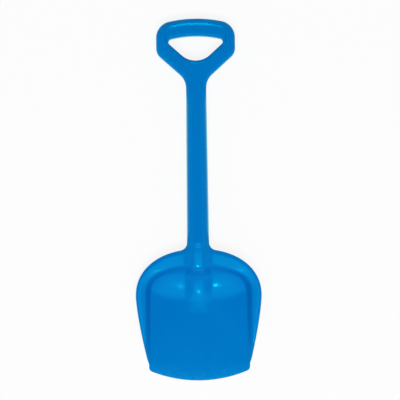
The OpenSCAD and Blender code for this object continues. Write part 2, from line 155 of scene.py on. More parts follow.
def side_z(x, y):
    away = x - HALF_FLOOR
    span = np.maximum(FRONT_LIP, side_half(y) - HALF_FLOOR)
    wall_z = WALL + (rim_z(y) - WALL) * rise_share(away, span, STEP_W, 1.0) - lip_drop(y, span - away, span)
    return np.where(away <= 0.0, sweep_z(x, y), wall_z)


def oval_reach(across, along, half, reach, bow):
    """How far a squarish oval reaches in a direction."""
    return ((across / half) ** bow + (along / reach) ** bow) ** (-1 / bow)


def back_z(x, y):
    """The rear wall, from its foot to the rim along rays from the middle of the widest line."""
    reach = np.maximum(0.05, np.hypot(x, y - BELLY))
    across, along = x / reach, np.maximum(1e-6, y - BELLY) / reach
    foot = oval_reach(across, along, HALF_FLOOR, FLOOR_BACK, CREASE_BOW)
    rim = oval_reach(across, along, HALF_W, SHOULDER, RIM_BOW)
    foot_z = sweep_z(across * foot, BELLY + along * foot)
    rim_y = BELLY + along * rim
    past = np.maximum(0.0, reach - rim)
    backward = along ** 4
    step_w = mix(STEP_W, BACK_STEP_W, backward)
    rise = rise_share(reach - foot, rim - foot, step_w, 1.0 - BACK_SOFT * backward)
    wall_z = (foot_z + (rim_z(rim_y) - foot_z) * rise - lip_drop(rim_y, rim - reach, rim - foot)
              - FILLET_DROP * past * past / FILLET_R)
    return np.where(reach <= foot, sweep_z(x, y), wall_z)


def pan_z(x, y):
    return np.where(y <= BELLY, side_z(np.abs(x), y), back_z(np.abs(x), y))


# %% [markdown]
# The fillet between the rim and the shaft is an arc of 11 mm. Where it leaves the rim has no
# plain formula, so a few repeated steps find it, and with it the place where the shaft starts.

# %% Fillet
def rim_slope(x):
    along = 1.0 - (x / HALF_W) ** RIM_BOW
    return math.atan(SHOULDER / HALF_W * (x / HALF_W) ** (RIM_BOW - 1) * along ** (1 / RIM_BOW - 1))


FILLET_HUB = HALF_SHAFT + FILLET_R
fillet_end = FILLET_HUB
for _ in range(6):
    fillet_end = FILLET_HUB - FILLET_R * math.sin(rim_slope(fillet_end))
BLADE_L = float(rim_arc_y(fillet_end)) + FILLET_R * math.cos(rim_slope(fillet_end))
SHAFT_END_Y = BLADE_L + SHAFT_L * math.cos(TILT)
SHAFT_END_Z = GRIP_L * math.sin(TILT)
OVERALL = (SHAFT_END_Y + (GRIP_L - BAR_ROUND) * math.cos(TILT)
           + (BAR_D - BAR_ROUND) * math.sin(TILT) + BAR_ROUND)

print("The shaft starts", round(BLADE_L, 2), "mm from the edge, length overall", round(OVERALL, 2))

# %% [markdown]
# The ridge swells out of the flat floor, climbs the rear wall ahead of it and runs into the
# shaft's front. One rule gives its height along the middle, another its round section across.
# Where ridge and shaft meet, the higher of the two counts, with a soft blend between.

# %% Ridge
RIDGE_FOOT, RIDGE_FLAT, RIDGE_H = 20.0, 1.35, 5.5
RIDGE_LEAD, RIDGE_END_LEAD, RIDGE_STEP = 9.5, 6.5, 16.0
RIDGE_SOFT, RIDGE_GROWTH, LIP_GROWTH, RIDGE_FULL = 0.75, 1.3, 1.4, 0.85
RIM_END = BELLY + SHOULDER
RIDGE_FOOT_Y, RIDGE_END = BELLY + FLOOR_BACK - RIDGE_LEAD, RIM_END - RIDGE_END_LEAD


def ridge_z(y):
    """The ridge's own line: the sweep, a softer step that starts earlier, and the lip."""
    foot_z = sweep_z(0.0, RIDGE_FOOT_Y)
    rise = rise_share(y - RIDGE_FOOT_Y, RIM_END - RIDGE_FOOT_Y, RIDGE_STEP, RIDGE_SOFT)
    over_lip = np.clip((y - RIDGE_FOOT_Y) / (RIM_END - RIDGE_FOOT_Y), 0.0, 1.0)
    rise = rise + LIP_SHARE * ((1.0 - (1.0 - over_lip) ** LIP_GROWTH) - over_lip)
    along = np.maximum(0.0, (y - PLATE) / (RIDGE_END - PLATE))
    left = 1.0 - RIDGE_FULL
    along = np.where(along < RIDGE_FULL, along, 1.0 - left * np.exp(-(along - RIDGE_FULL) / left))
    grown = RIDGE_H * along ** RIDGE_GROWTH
    return np.where(y <= RIDGE_FOOT_Y, sweep_z(0.0, y), foot_z + (PAN - foot_z) * rise) + grown


def across_ridge(x):
    """1 on the ridge's flat top, 0 at its feet."""
    return ease(RIDGE_FLAT * (1.0 - np.abs(x) / RIDGE_FOOT))


def bump_at(away, width):
    """A bell: 1 in its middle, nearly 0 two widths away."""
    return np.exp(-(away / width) ** 2)


RIDGE_CROWN, CROWN_HALF = 0.2, 7.0
FOOT_HOLLOW, HOLLOW_X, HOLLOW_W = 0.14, 20.5, 2.4
SHRINK_Y, SHRINK_RUN = 100.0, 20.0


def shrinkage(x, y):
    """What the cooling plastic adds: a slight crown on the ridge, a faint hollow at its feet."""
    crown = RIDGE_CROWN * np.clip(1.0 - (x / CROWN_HALF) ** 2, 0.0, 1.0)
    hollow = FOOT_HOLLOW * bump_at(np.abs(x) - HOLLOW_X, HOLLOW_W)
    return (crown - hollow) * ease((y - SHRINK_Y) / SHRINK_RUN)


SHAFT_DOME, SHAFT_DOME_BOW, SHAFT_DIP, BLEND = 7.0, 2.4, 60.0, 4.0


def front_z(x, y):
    """The shaft's front, carried on over the rear wall and dipping towards the floor."""
    return (PAN + CREST - SHAFT_DOME * (np.abs(x) / HALF_SHAFT) ** SHAFT_DOME_BOW
            - SHAFT_DIP * ((BLADE_L - y) / SHAFT_D) ** 2)


def inside_z(x, y):
    """The blade's inside: the pan with its ridge, or the shaft's front, whichever is higher."""
    ridge_rise = (ridge_z(y) - pan_z(np.zeros_like(y), y)) * across_ridge(x)
    blade, shaft = pan_z(x, y) + ridge_rise + shrinkage(x, y), front_z(x, y)
    near = np.maximum(0.0, BLEND - np.abs(blade - shaft)) / BLEND
    return np.maximum(blade, shaft) + near * near


shaft_start = inside_z(np.zeros(1), np.array([BLADE_L]))
print("The shaft's front starts", round(float(shaft_start[0]), 2), "mm above the ground")

# %% [markdown]
# The cutting edge isn't a square cut: the plate thins a little over its last 15 mm and ends in
# a small round. The underside is one wall below the inside, measured along the surface, and
# flat where the blade lies on the ground.

# %% Inside and underside
EDGE_R = (HALF_EDGE ** 2 + EDGE_BULGE ** 2) / (2 * EDGE_BULGE)
CORNER_X = HALF_EDGE - EDGE_CORNER
CORNER_Y = EDGE_R - math.sqrt((EDGE_R - EDGE_CORNER) ** 2 - CORNER_X ** 2)
EDGE_THINNING, THIN_RUN = 0.3, 15.0


def thinning(x, y):
    from_edge = EDGE_R - np.hypot(x, y - EDGE_R)
    return EDGE_THINNING * np.clip(1.0 - from_edge / THIN_RUN, 0.0, 1.0) ** 2


def top_z(x, y):
    x, y = np.asarray(x, float), np.asarray(y, float)
    return inside_z(x, y) - thinning(x, y)


def under_z(x, y):
    x, y = np.asarray(x, float), np.asarray(y, float)
    step, steepest = 0.052, 2.0
    slope_x = (inside_z(x + step, y) - inside_z(x - step, y)) / (2 * step)
    slope_y = (inside_z(x, y + step) - inside_z(x, y - step)) / (2 * step)
    steep = np.minimum(steepest, np.sqrt(1.0 + slope_x ** 2 + slope_y ** 2))
    return np.maximum(0.0, inside_z(x, y) - WALL * steep)


print("Cutting edge: radius", round(EDGE_R, 1), "mm, thick", round(WALL - EDGE_THINNING, 2), "mm")


# %% [markdown]
# ## One skin, many pieces
#
# Each piece is a closed shell made of grids of points. Some of its grids are skin, which is
# seen, and some are cuts, where it meets its neighbour. `Moulding` collects them and welds
# points that are equal to a two-thousandth of a millimetre. The normals of all the skins are
# worked out together. So two pieces that share an edge also share its shading, which a smooth
# operator on each piece can't give.

# %% Moulding
WELD_PER_MM = 2000.0


class Moulding:
    def __init__(self):
        self.patches = {}

    def grid(self, piece, points, flip=False, cut=False):
        """Rows of points become quads, with the front on the side that the right hand gives."""
        points = np.asarray(points, float)
        rows, columns = points.shape[:2]
        index = np.arange(rows * columns).reshape(rows, columns)
        quads = np.stack([index[:-1, :-1], index[:-1, 1:], index[1:, 1:], index[1:, :-1]], -1)
        quads = quads.reshape(-1, 4)[:, ::-1 if flip else 1]
        self.patches.setdefault(piece, []).append((points.reshape(-1, 3), quads.tolist(), cut))

    def face(self, piece, loop, flip=False, cut=True):
        """One many-sided face, for the flat cuts."""
        loop = np.asarray(loop, float)
        order = list(range(len(loop)))
        self.patches.setdefault(piece, []).append((loop, [order[::-1] if flip else order], cut))

    def weld(self, piece):
        """Points, faces and cut marks of a piece, with equal points made one."""
        keys, points, faces, cuts = {}, [], [], []
        for patch_points, patch_faces, cut in self.patches[piece]:
            rounded = np.round(patch_points * WELD_PER_MM).astype(np.int64)
            ids = []
            for key, point in zip(map(tuple, rounded), patch_points):
                if key not in keys:
                    keys[key] = len(points)
                    points.append(point)
                ids.append(keys[key])
            for patch_face in patch_faces:
                corners = [ids[i] for i in patch_face]
                corners = [c for k, c in enumerate(corners) if c != corners[k - 1]]
                if len(set(corners)) == len(corners) and len(corners) > 2:
                    faces.append(corners)
                    cuts.append(cut)
        return np.array(points), faces, np.array(cuts)


moulding = Moulding()


# %% [markdown]
# The points of all the pieces are matched once more, over the whole shovel. The normal
# at a face's corner is the mean of the faces around that point that turn away by less than
# 40 degrees, so rounded forms shade softly and real edges stay crisp.

# %% Shared normals
SEAM_PER_MM = 500.0


def face_normals(points, faces):
    normals = np.zeros((len(faces), 3))
    for row, corners in enumerate(faces):
        ring = points[corners]
        normals[row] = np.cross(ring, np.roll(ring, -1, axis=0)).sum(axis=0) / 2.0
    return normals


def shared_normals(pieces, limit=40.0):
    """pieces: name -> (points, faces, cuts). Gives name -> one normal per face corner."""
    key_of, keys, area, owner = {}, [], [], []
    spans = {}
    for name, (points, faces, cuts) in pieces.items():
        flat = face_normals(points, faces)
        rounded = [tuple(k) for k in np.round(points * SEAM_PER_MM).astype(np.int64)]
        start = len(keys)
        for row, corners in enumerate(faces):
            for corner in corners:
                place = rounded[corner]
                if cuts[row]:
                    place = (place, name, row)
                keys.append(key_of.setdefault(place, len(key_of)))
                area.append(flat[row])
                owner.append(row)
        spans[name] = (start, len(keys))
    keys, area = np.array(keys), np.array(area)
    unit = area / np.maximum(1e-12, np.linalg.norm(area, axis=1, keepdims=True))
    order = np.argsort(keys, kind="stable")
    sorted_keys, sorted_area, sorted_unit = keys[order], area[order], unit[order]
    total = sorted_area.copy()
    threshold = math.cos(math.radians(limit))
    for shift in range(1, int(np.bincount(keys).max())):
        same = sorted_keys[shift:] == sorted_keys[:-shift]
        close = (sorted_unit[shift:] * sorted_unit[:-shift]).sum(axis=1) > threshold
        pair = (same & close)[:, None]
        total[:-shift] += np.where(pair, sorted_area[shift:], 0.0)
        total[shift:] += np.where(pair, sorted_area[:-shift], 0.0)
    total /= np.maximum(1e-12, np.linalg.norm(total, axis=1, keepdims=True))
    result = np.empty_like(total)
    result[order] = total
    return {name: result[a:b] for name, (a, b) in spans.items()}


# %% [markdown]
# ## The blade's sheets
#
# A sheet is a net of places seen from above. Its inside and its underside are the same net at
# the two heights. Round the free edge runs a half-round rim, from the inside to the underside.

# %% Sheets and rims
RIM_STEPS = 6


def both_sides(size=2):
    """Each side's sign and name, and the factors that mirror a place of that size to it."""
    return [(1, "right", np.ones(size)), (-1, "left", np.array([-1.0] + [1.0] * (size - 1)))]


def raised(places, height):
    places = np.asarray(places, float)
    return np.concatenate([places, height(places[..., 0], places[..., 1])[..., None]], axis=-1)


def sheet(piece, places, flip=False):
    """Inside and underside over a net of places."""
    moulding.grid(piece, raised(places, top_z), flip=flip)
    moulding.grid(piece, raised(places, under_z), flip=not flip)


def cut_strip(piece, line, flip=False):
    """The cut below a line of places."""
    moulding.grid(piece, [raised(line, top_z), raised(line, under_z)], flip=flip, cut=True)


def half_thick(places):
    """Half of the wall's thickness at the free edge."""
    places = np.asarray(places, float)
    return 0.5 * (WALL - thinning(places[..., 0], places[..., 1]))


def rim_rows(outline, inset):
    """Rows of the half-round rim: row 0 on the inside, the last on the underside."""
    upper, lower = raised(inset, top_z), raised(inset, under_z)
    middle, half = (upper + lower) / 2, (upper - lower) / 2
    bulge = np.concatenate([np.asarray(outline) - np.asarray(inset),
                            np.zeros((len(outline), 1))], axis=-1)
    angles = np.linspace(0.0, math.pi, RIM_STEPS + 1)
    return np.array([middle + half * math.cos(a) + bulge * math.sin(a) for a in angles])


# %% [markdown]
# ## Stations of the nets
#
# The nets of neighbours have the same stations on the line where they meet. Across the blade
# these are close together near the shaft and near the side walls, where the shape turns most.

# %% Stations
TOP_CELLS, EDGE_CELLS, WIDE_CELLS = 8, 2, 32
WALL_CELLS, FRONT_CELLS, PLATE_CELLS, SWEEP_CELLS = 26, 12, 14, 26
WALL_CROWDING = 1.15
INNER_SHAFT = HALF_SHAFT - WALL

half_ridge = np.concatenate([np.linspace(0.0, INNER_SHAFT, TOP_CELLS + 1),
                             np.linspace(INNER_SHAFT, HALF_SHAFT, EDGE_CELLS + 1)[1:]])
ridge_x = np.concatenate([-half_ridge[:0:-1], half_ridge])
wide_share = (1.0 - np.cos(np.pi * np.arange(WIDE_CELLS + 1) / WIDE_CELLS)) / 2.0
crease_x = mix(HALF_SHAFT, HALF_FLOOR, wide_share)
floor_x = np.concatenate([-crease_x[:0:-1], ridge_x, crease_x[1:]])
wall_share = (np.arange(WALL_CELLS + 1) / WALL_CELLS) ** WALL_CROWDING


def edge_place(x):
    """Place and outward direction on the cutting edge at a distance from the centre line."""
    size = abs(x)
    if size <= CORNER_X * EDGE_R / (EDGE_R - EDGE_CORNER):
        place = np.array([x, EDGE_R - math.sqrt(EDGE_R ** 2 - x * x)])
        return place, (place - [0.0, EDGE_R]) / EDGE_R
    drop = math.sqrt(max(0.0, EDGE_CORNER ** 2 - (size - CORNER_X) ** 2))
    place = np.array([size, CORNER_Y - drop])
    outward = (place - [CORNER_X, CORNER_Y]) / EDGE_CORNER
    side = 1.0 if x > 0 else -1.0
    return place * [side, 1.0], outward * [side, 1.0]


def inset_place(place, outward):
    return place - outward * half_thick(place)


print("Stations across the floor:", len(floor_x))

# %% [markdown]
# ## The plate
#
# The flat front of the blade. Its net starts at the bowed cutting edge and ends in a straight
# row, a little before the floor begins to sweep up. At each side a small corner net fills the
# rounded corner and the short free edge in front of the side wall.

# %% Plate
edge_line = [edge_place(x) for x in floor_x]
edge_outline = np.array([place for place, _ in edge_line])
edge_inset = np.array([inset_place(place, outward) for place, outward in edge_line])
front_share = np.linspace(0.0, 1.0, FRONT_CELLS + 1)
plate_share = np.linspace(0.0, 1.0, PLATE_CELLS + 1)
free_row = np.stack([floor_x, np.full_like(floor_x, FREE_EDGE)], -1)
plate_row = np.stack([floor_x, np.full_like(floor_x, PLATE)], -1)
plate_net = np.concatenate([mix(edge_inset, free_row, front_share[:, None, None]),
                            mix(free_row, plate_row, plate_share[1:, None, None])])
sheet("blade_plate", plate_net)
moulding.grid("blade_plate", rim_rows(edge_outline, edge_inset), flip=True)
cut_strip("blade_plate", plate_net[-1])
NIP, NIP_RUN = 0.7, 6.0


def side_out(y):
    """Half width of the rim ahead of the widest line, nipped in where the wall starts."""
    return side_half(y) - NIP * ease((FREE_EDGE + NIP_RUN - y) / NIP_RUN)


def corner_outline():
    """Outline of the right corner, from the end of the net on the floor to the side wall."""
    start = math.atan2(edge_outline[-1][1] - CORNER_Y, edge_outline[-1][0] - CORNER_X)
    arc_l, free_l = -start * EDGE_CORNER, FREE_EDGE - CORNER_Y
    outline, inset = [], []
    for share in front_share:
        run = share * (arc_l + free_l)
        if run <= arc_l:
            outward = np.array([math.cos(start + run / EDGE_CORNER), math.sin(start + run / EDGE_CORNER)])
            place = np.array([CORNER_X, CORNER_Y]) + EDGE_CORNER * outward
        else:
            outward = np.array([1.0, 0.0])
            t = (run - arc_l) / free_l
            place = np.array([mix(HALF_EDGE, float(side_out(FREE_EDGE)), t * t), CORNER_Y + run - arc_l])
        outline.append(place)
        inset.append(inset_place(place, outward))
    return np.array(outline), np.array(inset)


corner_out, corner_in = corner_outline()
corner_out[0], corner_in[0] = edge_outline[-1], edge_inset[-1]
corner_net = mix(plate_net[:FRONT_CELLS + 1, -1][:, None], corner_in[:, None], wall_share[None, :, None])
for side, _, way in both_sides():
    sheet("blade_plate", corner_net * way, flip=side < 0)
    moulding.grid("blade_plate", rim_rows(corner_out * way, corner_in * way), flip=side > 0)

# %% [markdown]
# Where the side wall starts, the cut face has the wall's own section: the inside, the round of
# the rim and the underside. A small helper makes that many-sided face from one row of a net.

# %% Wall sections
def wall_section(row, outline_end):
    """Closed loop round the section of a wall at the end of its net."""
    row = np.asarray(row)
    rim = rim_rows([outline_end], [row[-1]])[:, 0]
    return np.concatenate([raised(row, top_z), rim[1:], raised(row[:-1], under_z)[::-1]])


for side, _, way in both_sides():
    section = wall_section(corner_net[-1] * way, corner_out[-1] * way)
    moulding.face("blade_plate", section, flip=side < 0)
    cut_strip("blade_plate", plate_net[FRONT_CELLS:, -1] * way, flip=side > 0)
print("Plate: cutting edge", round(2 * CORNER_X + 2 * EDGE_CORNER, 1), "mm wide")

# %% [markdown]
# ## The scoop, the side walls and the shoulders
#
# The scoop is the part of the floor that sweeps up to the crease. The side walls flank it, and
# the two shoulders carry the rim round the back to the shaft. In the photograph the walls show
# as a dark steep step and a lighter lip, which the height rules already hold.

# %% Scoop
scoop_share = np.linspace(0.0, 1.0, SWEEP_CELLS + 1)
crease_row = np.stack([floor_x, crease_y(floor_x)], -1)
scoop_net = mix(plate_row, crease_row, scoop_share[:, None, None])
sheet("blade_scoop", scoop_net)
cut_strip("blade_scoop", scoop_net[0], flip=True)
cut_strip("blade_scoop", scoop_net[-1])
for side, _, way in both_sides():
    cut_strip("blade_scoop", scoop_net[:, -1] * way, flip=side > 0)
print("Scoop: up to the crease", round(float(crease_y(0.0)), 1), "mm from the edge")

# %% [markdown]
# A side wall starts at the free front corner, where its rim is lowest, and rises to the widest
# line. Its net runs from the foot of the wall out to the rim, and its half-round rim is one
# more grid. Both walls come from one net: the left one is the right one mirrored.

# %% Side walls
wall_y = np.concatenate([plate_net[FRONT_CELLS:, -1, 1], scoop_net[1:, -1, 1]])
wall_out = np.stack([side_out(wall_y), wall_y], -1)
wall_in = np.array([inset_place(place, np.array([1.0, 0.0])) for place in wall_out])
wall_foot = np.stack([np.full_like(wall_y, HALF_FLOOR), wall_y], -1)
wall_net = mix(wall_foot[:, None], wall_in[:, None], wall_share[None, :, None])
for side, hand, way in both_sides():
    piece = hand + "_side_wall"
    sheet(piece, wall_net * way, flip=side < 0)
    moulding.grid(piece, rim_rows(wall_out * way, wall_in * way), flip=side > 0)
    cut_strip(piece, wall_foot * way, flip=side < 0)
    moulding.face(piece, wall_section(wall_net[0] * way, wall_out[0] * way), flip=side > 0)
    moulding.face(piece, wall_section(wall_net[-1] * way, wall_out[-1] * way), flip=side < 0)
print("Side walls:", wall_net.shape[0], "rows of", wall_net.shape[1])

# %% [markdown]
# The shoulders follow the rim round the back. Close to the shaft the rim turns into the fillet
# and its round fades away, because there the rim runs into the shaft's flat side.

# %% Shoulders
def rim_place(x):
    """Place and outward direction on the rim behind the widest line."""
    if x >= fillet_end:
        place = np.array([x, float(rim_arc_y(x))])
        outward = np.array([(x / HALF_W) ** (RIM_BOW - 1) / HALF_W,
                            ((place[1] - BELLY) / SHOULDER) ** (RIM_BOW - 1) / SHOULDER])
        return place, outward / np.linalg.norm(outward)
    place = np.array([x, BLADE_L - math.sqrt(max(0.0, FILLET_R ** 2 - (FILLET_HUB - x) ** 2))])
    return place, (np.array([FILLET_HUB, BLADE_L]) - place) / FILLET_R


RIM_FADE = 4.0
rim_line = [rim_place(x) for x in mix(HALF_SHAFT, HALF_W, wide_share)]
rim_out = np.array([place for place, _ in rim_line])
rim_in = np.array([mix(place, inset_place(place, outward), ease((place[0] - HALF_SHAFT) / RIM_FADE))
                   for place, outward in rim_line])
crease_line = np.stack([crease_x, crease_y(crease_x)], -1)
shoulder_net = mix(crease_line[None], rim_in[None], wall_share[:, None, None])
for side, hand, way in both_sides():
    piece = hand + "_shoulder"
    sheet(piece, shoulder_net * way, flip=side < 0)
    moulding.grid(piece, rim_rows(rim_out * way, rim_in * way), flip=side < 0)
    cut_strip(piece, crease_line * way, flip=side > 0)
    moulding.face(piece, wall_section(shoulder_net[:, 0] * way, rim_out[0] * way), flip=side < 0)
    moulding.face(piece, wall_section(shoulder_net[:, -1] * way, rim_out[-1] * way), flip=side > 0)
print("Rim at the back:", round(float(rim_out[0][1]), 2), "mm from the edge")

# %% [markdown]
# ## The socket
#
# The socket is the first part of the shaft. It runs over the rear wall and is open below, with
# a cheek under each side that stops at the crease. Seen from the back it is a trough that the
# mould's core leaves. The feet of the cheeks are a little rounded, so their edges catch light.

# %% Socket
CHEEK_CELLS, INNER_CELLS = 5, 9
FOOT_ROUND, FOOT_STEP = 0.7, 0.2
FOOT = [(FOOT_STEP, FOOT_STEP), (FOOT_ROUND, 0.0), (WALL - FOOT_ROUND, 0.0), (WALL - FOOT_STEP, FOOT_STEP)]


def down(top, low, cells):
    """Points from one to another, without the first."""
    return [mix(np.asarray(top, float), np.asarray(low, float), k / cells) for k in range(1, cells + 1)]


def socket_ring(share):
    """Right half of the socket's section: outside from the centre line, foot, then inside."""
    places = np.stack([half_ridge, mix(crease_y(half_ridge), BLADE_L, share)], -1)
    start_y = float(crease_y(HALF_SHAFT))
    foot_z = mix(float(under_z(HALF_SHAFT, start_y)) - 1.0, BACK_Z, share)
    outer_low = np.array([*places[-1], foot_z + FOOT_ROUND])
    inner_low = np.array([*places[TOP_CELLS], foot_z + FOOT_ROUND])
    upper, lower = raised(places, top_z), raised(places, under_z)
    flank = rim_rows(places[-1:], places[-1:])[:, 0]
    outer = list(upper) + list(flank[1:]) + down(lower[-1], outer_low, CHEEK_CELLS)
    foot = [np.array([*mix(places[-1], places[TOP_CELLS], off / WALL), foot_z + up]) for off, up in FOOT]
    inner = list(lower[:TOP_CELLS + 1]) + down(lower[TOP_CELLS], inner_low, INNER_CELLS)
    return np.array(outer), np.array(foot), np.array(inner)


socket_rings = [socket_ring(share) for share in wall_share]
FLANK = TOP_CELLS + EDGE_CELLS
outers = np.array([outer for outer, _, _ in socket_rings])
troughs = np.array([np.concatenate([outer[FLANK + RIM_STEPS:], foot, inner[::-1]])
                    for outer, foot, inner in socket_rings])
for side, _, way in both_sides(3):
    moulding.grid("socket", outers[:, :FLANK + 1] * way, flip=side < 0)
    moulding.grid("socket", troughs * way, flip=side < 0)
    flank = wall_section(shoulder_net[:, 0] * way[:2], rim_out[0] * way[:2])
    moulding.face("socket", flank, flip=side > 0)
    front = np.stack([outers[0, :FLANK + 1], raised(outers[0, :FLANK + 1, :2], under_z)])
    moulding.grid("socket", front * way, flip=side > 0, cut=True)
    cheek_front = np.concatenate([raised(outers[0, TOP_CELLS + 1:FLANK + 1, :2], under_z),
                                  troughs[0, 1:CHEEK_CELLS + 1], socket_rings[0][1],
                                  socket_rings[0][2][:TOP_CELLS - 1:-1]])
    moulding.face("socket", cheek_front * way, flip=side > 0, cut=False)


def whole_loop(right):
    """Closed loop from the right half of a ring that starts and ends on the centre line."""
    left = (right * [-1.0, 1.0, 1.0])[::-1]
    return np.concatenate([right, left[1:-1]])


socket_outer, socket_foot, socket_inner = socket_rings[-1]
moulding.face("socket", whole_loop(np.concatenate([socket_outer, socket_foot, socket_inner[::-1]])))
print("Socket:", len(socket_rings), "sections")

# %% [markdown]
# ## The shaft
#
# The shaft is a channel with a domed front and slightly flared sides, as draft lets a mould
# open. Its section changes along the way: it starts as the socket's, is domed in the middle,
# and ends flat with round edges, because the yoke's front is nearly flat. We write the three
# sections with the same number of points and blend them, point by point.

# %% Shaft sections
ROUND_CELLS, SIDE_CELLS = 8, 5
INNER_ROUND_CELLS, INNER_SIDE_CELLS = 5, 4
SHAFT_STATIONS = 72
EDGE_ROUND, SIDE_DRAFT = 6.0, 1.1
DOME_DROP, DOME_BOW = 11.0, 2.25
HOLLOW_DROP, HOLLOW_BOW = 8.0, 2.8


def lengths(line):
    """Length along a line from its start to each of its points."""
    return np.concatenate([[0.0], np.cumsum(np.linalg.norm(np.diff(line, axis=0), axis=1))])


def on_line(at, run, line):
    """Values of a line at some lengths along it."""
    return np.stack([np.interp(at, run, line[:, k]) for k in (0, 1)], -1)


def even(line, cells):
    """The same open line with evenly spaced points."""
    run = lengths(line)
    return on_line(np.linspace(0.0, run[-1], cells + 1), run, line)


def dome(half, height, drop, power, cells):
    """Domed front from the centre line to the side, as [x, height above the back]."""
    turn = np.linspace(0.0, math.pi / 2, 200)
    x = half * np.sin(turn) ** (2 / power)
    z = height - drop + drop * np.cos(turn) ** (2 / power)
    return even(np.stack([x, z], -1), cells)


def domed_section(share):
    """Outside and inside of the shaft's right half, somewhere along the shaft."""
    depth = mix(SHAFT_D, ARM_D, share)
    back_half = mix(HALF_SHAFT, HALF_NECK, share)
    front_half = back_half - SIDE_DRAFT
    crown = dome(front_half, depth, DOME_DROP, DOME_BOW, TOP_CELLS + ROUND_CELLS)
    outer = list(crown) + down(crown[-1], [back_half, FOOT_ROUND], SIDE_CELLS)
    hollow = dome(front_half - WALL, depth - WALL, HOLLOW_DROP, HOLLOW_BOW, TOP_CELLS + INNER_ROUND_CELLS)
    inner = list(hollow) + down(hollow[-1], [back_half - WALL, FOOT_ROUND], INNER_SIDE_CELLS)
    return np.array(outer), np.array(inner)


def flat_section(half, depth, edge_round, round_cells, side_cells):
    """Right half of a flat front with a round edge."""
    turn = np.linspace(0.0, math.pi / 2, round_cells + 1)[1:]
    flat = [[x, depth] for x in np.linspace(0.0, half - edge_round, TOP_CELLS + 1)]
    edge = [[half - edge_round * (1 - math.sin(a)), depth - edge_round * (1 - math.cos(a))] for a in turn]
    return np.array(flat + edge + down([half, depth - edge_round], [half, FOOT_ROUND], side_cells))


def on_handle(x, w, share):
    """Place of a section's point: upright at the blade, square to the handle at the yoke."""
    start = np.stack([x, np.full_like(x, BLADE_L), BACK_Z + w], -1)
    end = np.stack([x, SHAFT_END_Y + w * math.sin(TILT), SHAFT_END_Z + w * math.cos(TILT)], -1)
    return mix(start, end, share)


def foot_of(outer, inner):
    """Small round foot between the outside and the inside of a section."""
    across, low = inner[-1][0] - outer[-1][0], outer[-1][1] - FOOT_ROUND
    return np.array([[outer[-1][0] + across * off / WALL, low + up] for off, up in FOOT])


start_outer, start_inner = (ring[:, [0, 2]] - [0.0, BACK_Z] for ring in (socket_outer, socket_inner))
end_outer = flat_section(HALF_NECK, ARM_D, EDGE_ROUND, ROUND_CELLS, SIDE_CELLS)
end_inner = flat_section(HALF_NECK - WALL, ARM_D - WALL, EDGE_ROUND - WALL, INNER_ROUND_CELLS,
                         INNER_SIDE_CELLS)

# %% [markdown]
# The stations are closer together near the two ends, where the section changes. The whole
# shaft is one grid for its right half and the same grid mirrored, so the two halves meet on
# the centre line.

# %% Shaft
START_RUN, END_RUN = 18.0, 24.0
steps = np.arange(SHAFT_STATIONS + 1) / SHAFT_STATIONS
shaft_share = mix(steps, (1 - np.cos(np.pi * steps)) / 2, 0.6)
shaft_rings = []
for share in shaft_share:
    from_blade, to_yoke = share * SHAFT_L, (1 - share) * SHAFT_L
    at_start, at_end = 1 - float(ease(from_blade / START_RUN)), 1 - float(ease(to_yoke / END_RUN))
    outer, inner = domed_section(share)
    outer = mix(mix(outer, start_outer, at_start), end_outer, at_end)
    inner = mix(mix(inner, start_inner, at_start), end_inner, at_end)
    ring = np.concatenate([outer, foot_of(outer, inner), inner[::-1]])
    shaft_rings.append(on_handle(ring[:, 0], ring[:, 1], share))
shaft_rings = np.array(shaft_rings)
for side, _, way in both_sides(3):
    moulding.grid("shaft", shaft_rings * way, flip=side < 0)
moulding.face("shaft", whole_loop(shaft_rings[0]), flip=True)
moulding.face("shaft", whole_loop(shaft_rings[-1]))
print("Shaft:", len(shaft_rings), "sections of", 2 * shaft_rings.shape[1], "points")

# %% [markdown]
# ## The grip's outlines
#
# Seen from above, the grip is a band between two closed lines: the outline, and the edge of
# the hand hole. Both are straight runs and arcs. We build them from corners with a radius, as
# a draughtsman would, and keep the direction that points out of the plastic at each place.

# %% Grip outlines
HALF_GRIP, UPPER_R, LOWER_R, NECK_R, BOW_R = 54.5, 23.0, 16.0, 25.0, 175.0
HOLE_LOW_R, HOLE_CORNER_R, ARM_ANGLE = 29.0, 4.5, math.radians(48.0)
LINE_STEP = 0.25
HOLE_TOP_R = BOW_R - BAR_D
HOLE_HUB = np.array([0.0, YOKE_L + HOLE_LOW_R])
BOW_HUB = np.array([0.0, GRIP_L - BOW_R])
ARM_WAY = np.array([math.sin(ARM_ANGLE), math.cos(ARM_ANGLE)])
ARM_OUT = np.array([math.cos(ARM_ANGLE), -math.sin(ARM_ANGLE)])


def arc_points(hub, radius, start, stop):
    """Points on an arc and the directions away from its hub."""
    angles = np.linspace(start, stop, max(3, int(abs(stop - start) * radius / LINE_STEP)))
    away = np.stack([np.cos(angles), np.sin(angles)], -1)
    return hub + radius * away, away


def angle_of(vector):
    return math.atan2(vector[1], vector[0])


def line_points(start, stop, outward):
    count = max(2, int(np.linalg.norm(stop - start) / LINE_STEP))
    points = mix(start[None], stop[None], np.linspace(0, 1, count)[:, None])
    return points, np.tile(outward, (count, 1))


def joined(runs):
    """One line from several runs of (points, outward directions)."""
    return np.concatenate([run[0] for run in runs]), np.concatenate([run[1] for run in runs])


# %% [markdown]
# The hand hole's edge, from its lowest point round the right side to its top. The plastic
# lies outside it, so the direction out of the plastic points to the hole.

